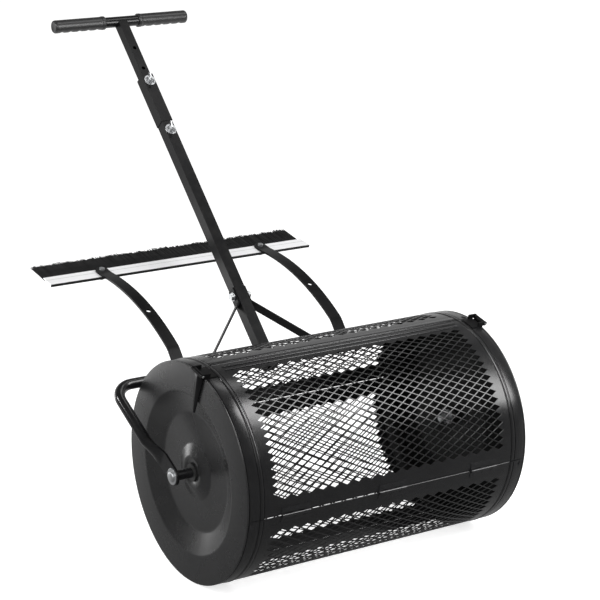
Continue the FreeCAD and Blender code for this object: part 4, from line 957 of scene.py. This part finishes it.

# A group that paints shade: a fine strip a little darker for the groove's shadow, and a nearly black one for the
# front fold's shadow.
die_lines, start, end = new_group(
    "die_lines",
    [("Place", VECTOR, None), ("Line", VALUE, DIE_LINE_SHADE), ("Front", VALUE, FRONT_FOLD_SHADE),
     ("Color", COLOR, (1, 1, 1, 1))],
    [("Color", COLOR)])
depth_in = add(die_lines, "VectorMath", {1: brush_along}, {0: start.outputs["Place"]},
               operation="DOT_PRODUCT")
from_seat = add(die_lines, "Math", {1: brush_seat.dot(brush_along)},
                {0: depth_in.outputs["Value"]}, operation="SUBTRACT")
colour = start.outputs["Color"]
for label, half_width, shade in SHADE_STRIPS:
    apart = add(die_lines, "Math", sources={0: from_seat, 1: start.outputs[label]}, operation="SUBTRACT")
    size = add(die_lines, "Math", sources={0: apart}, operation="ABSOLUTE")
    mark = add(die_lines, "MapRange",
               {"From Min": half_width * SOLID_SHARE, "From Max": half_width, "To Min": 1, "To Max": 0},
               {"Value": size})
    shaded = add(die_lines, "Mix", {COLOR_B: (shade, shade, shade, 1)},
                 {"Factor": mark, COLOR_A: colour}, data_type="RGBA")
    colour = shaded.outputs[MIXED_COLOR]
feed(die_lines, end, {"Color": colour})

tree = aluminium.node_tree
shader = tree.nodes["Principled BSDF"]
own_colour = shader.inputs["Base Color"].links[0].from_socket
where = next(node for node in tree.nodes if node.type == "TEX_COORD")
# The painted shade goes over the channel's own colour.
painted_shade = placed_group(tree, die_lines, where, {})
feed(tree, painted_shade, {"Color": own_colour})
feed(tree, shader, {"Base Color": painted_shade.outputs["Color"]})
print("strips on", aluminium.name)

# %% [markdown]
# The arms, their clamps on the cross tube and the channel are bent or drawn stock, and their solids are
# right but for the edges, like the screws that hold them.

# %% Arms and channel
for name in SIDES:
    softened(f"brush_arm_{name}", satin_black, width=0.0008)
    softened(f"arm_clamp_{name}", satin_black, width=0.0006)
softened("brush_channel", aluminium, width=0.0006)
for node in ("arm_clamp_screws", "brush_bolts", "brush_nuts"):
    softened(node, zinc, width=0.0004, segments=2, join=False)

# %% [markdown]
# Bristles could be hair particles, but those are lost when the model leaves Blender. So the strip is a dark
# core with many thin tapering tufts in four layers. Each tuft is a four-sided cone, which is enough at this
# size. Its length follows a slow wave plus some chance that three neighbours share, so that the edge is as
# ragged as the real one, and a fixed seed keeps it the same in every run. All of it stays inside the plain
# block that it replaces.

# %% The core of the bristles
CORE_DEPTH, CORE_HEIGHT, CORE_SHORTER = 0.060, 0.006, 0.004
CORE_MIDDLE, CORE_DROP = 0.0438, -0.006

bm = bmesh.new()
core = bmesh.ops.create_cube(bm, size=1)["verts"]
bmesh.ops.scale(bm, verts=core, vec=(row_end - row_start - CORE_SHORTER, CORE_DEPTH, CORE_HEIGHT))
bmesh.ops.rotate(bm, verts=core, cent=(0, 0, 0), matrix=Matrix.Rotation(TILT, 3, "X"))
row_middle = Vector(((row_start + row_end) / 2, 0, 0))
core_place = brush_seat + brush_along * CORE_MIDDLE + brush_up * CORE_DROP + row_middle
bmesh.ops.translate(bm, verts=core, vec=core_place)
print("core of", len(core), "corners, bristles", round(row_end - row_start, 3), "long")

# %% [markdown]
# A tuft runs from its root in the channel to its tip. The tip's place is the root's, moved back by the
# tuft's reach and sideways by a small lean, and it is kept inside the ends of the strip. The order in which
# the chance numbers are drawn is part of the shape: another order would give another brush.

# %% Tufts
LAYERS, TUFTS, CLUMP = 4, 330, 3
ROOT_RADIUS, TIP_RADIUS = 0.0012, 0.0007
SIDE_LEAN, HEIGHT_LEAN = 0.005, 0.0016
CLUMP_SHORTER, TUFT_SHORTER = 0.0062, 0.0015
ROW_MARGIN, ROOT_GAP, TIP_GAP = 0.001, 0.0003, 0.0028
chance = random.Random(7)
clumps = [chance.random() for _ in range(TUFTS // CLUMP + 1)]

for layer in range(LAYERS):
    height = UNDER + ROOT_RADIUS + (OVER - UNDER - 2 * ROOT_RADIUS) * (layer + 0.5) / LAYERS
    for k in range(TUFTS):
        share = (k + 0.25 + 0.5 * chance.random()) / TUFTS
        x = row_start + ROW_MARGIN + (row_end - row_start - 2 * ROW_MARGIN) * share
        wave = 0.0013 * math.sin(x * 61 + layer) + 0.0011 * math.sin(x * 147 + 2 * layer)
        shorter = CLUMP_SHORTER * clumps[k // CLUMP] ** 1.5 + TUFT_SHORTER * chance.random()
        reach = FAR - TIP_GAP + wave - shorter
        lean = Vector(((chance.random() - 0.5) * SIDE_LEAN, 0, 0))
        lean += brush_up * ((chance.random() - 0.5) * HEIGHT_LEAN)
        line = brush_seat + brush_up * height + Vector((x, 0, 0))
        root = line + brush_along * (NEAR + ROOT_GAP)
        tip = line + brush_along * reach + lean
        tip.x = min(max(tip.x, row_start + TIP_RADIUS), row_end - TIP_RADIUS)
        way = tip - root
        turn = way.to_track_quat("Z", "X").to_matrix().to_4x4()
        bmesh.ops.create_cone(bm, cap_ends=True, segments=4, radius1=ROOT_RADIUS, radius2=TIP_RADIUS,
                              depth=way.length, matrix=Matrix.Translation((root + tip) / 2) @ turn)
finish_piece(bm, "brush_bristles", "_tufts", filament, corner=100)

# %% [markdown]
# ## What is left
# A few nodes are inside the drum or too small to need new shapes: bushes, inner washers and clips. They keep
# their solids and take the finish of their slot, apart from the washers and clips, whose zinc is painted darker
# as painted shade for the drum's shade. Every node is either replaced or dressed here.

# %% Dress the remaining nodes
# The inner washers and clips take the darker zinc, which is painted shade.
IN_DRUM_SHADE = ("axle_washers_inner", "hairpin_clips")

for node, slot_name in SLOT_OF.items():
    if node not in replaced:
        finish = dull_zinc if node in IN_DRUM_SHADE else FINISH[slot_name]
        data = frame["nodes"][node].data
        data.materials.clear()
        data.materials.append(finish)
        print("kept", node, "in", finish.name)
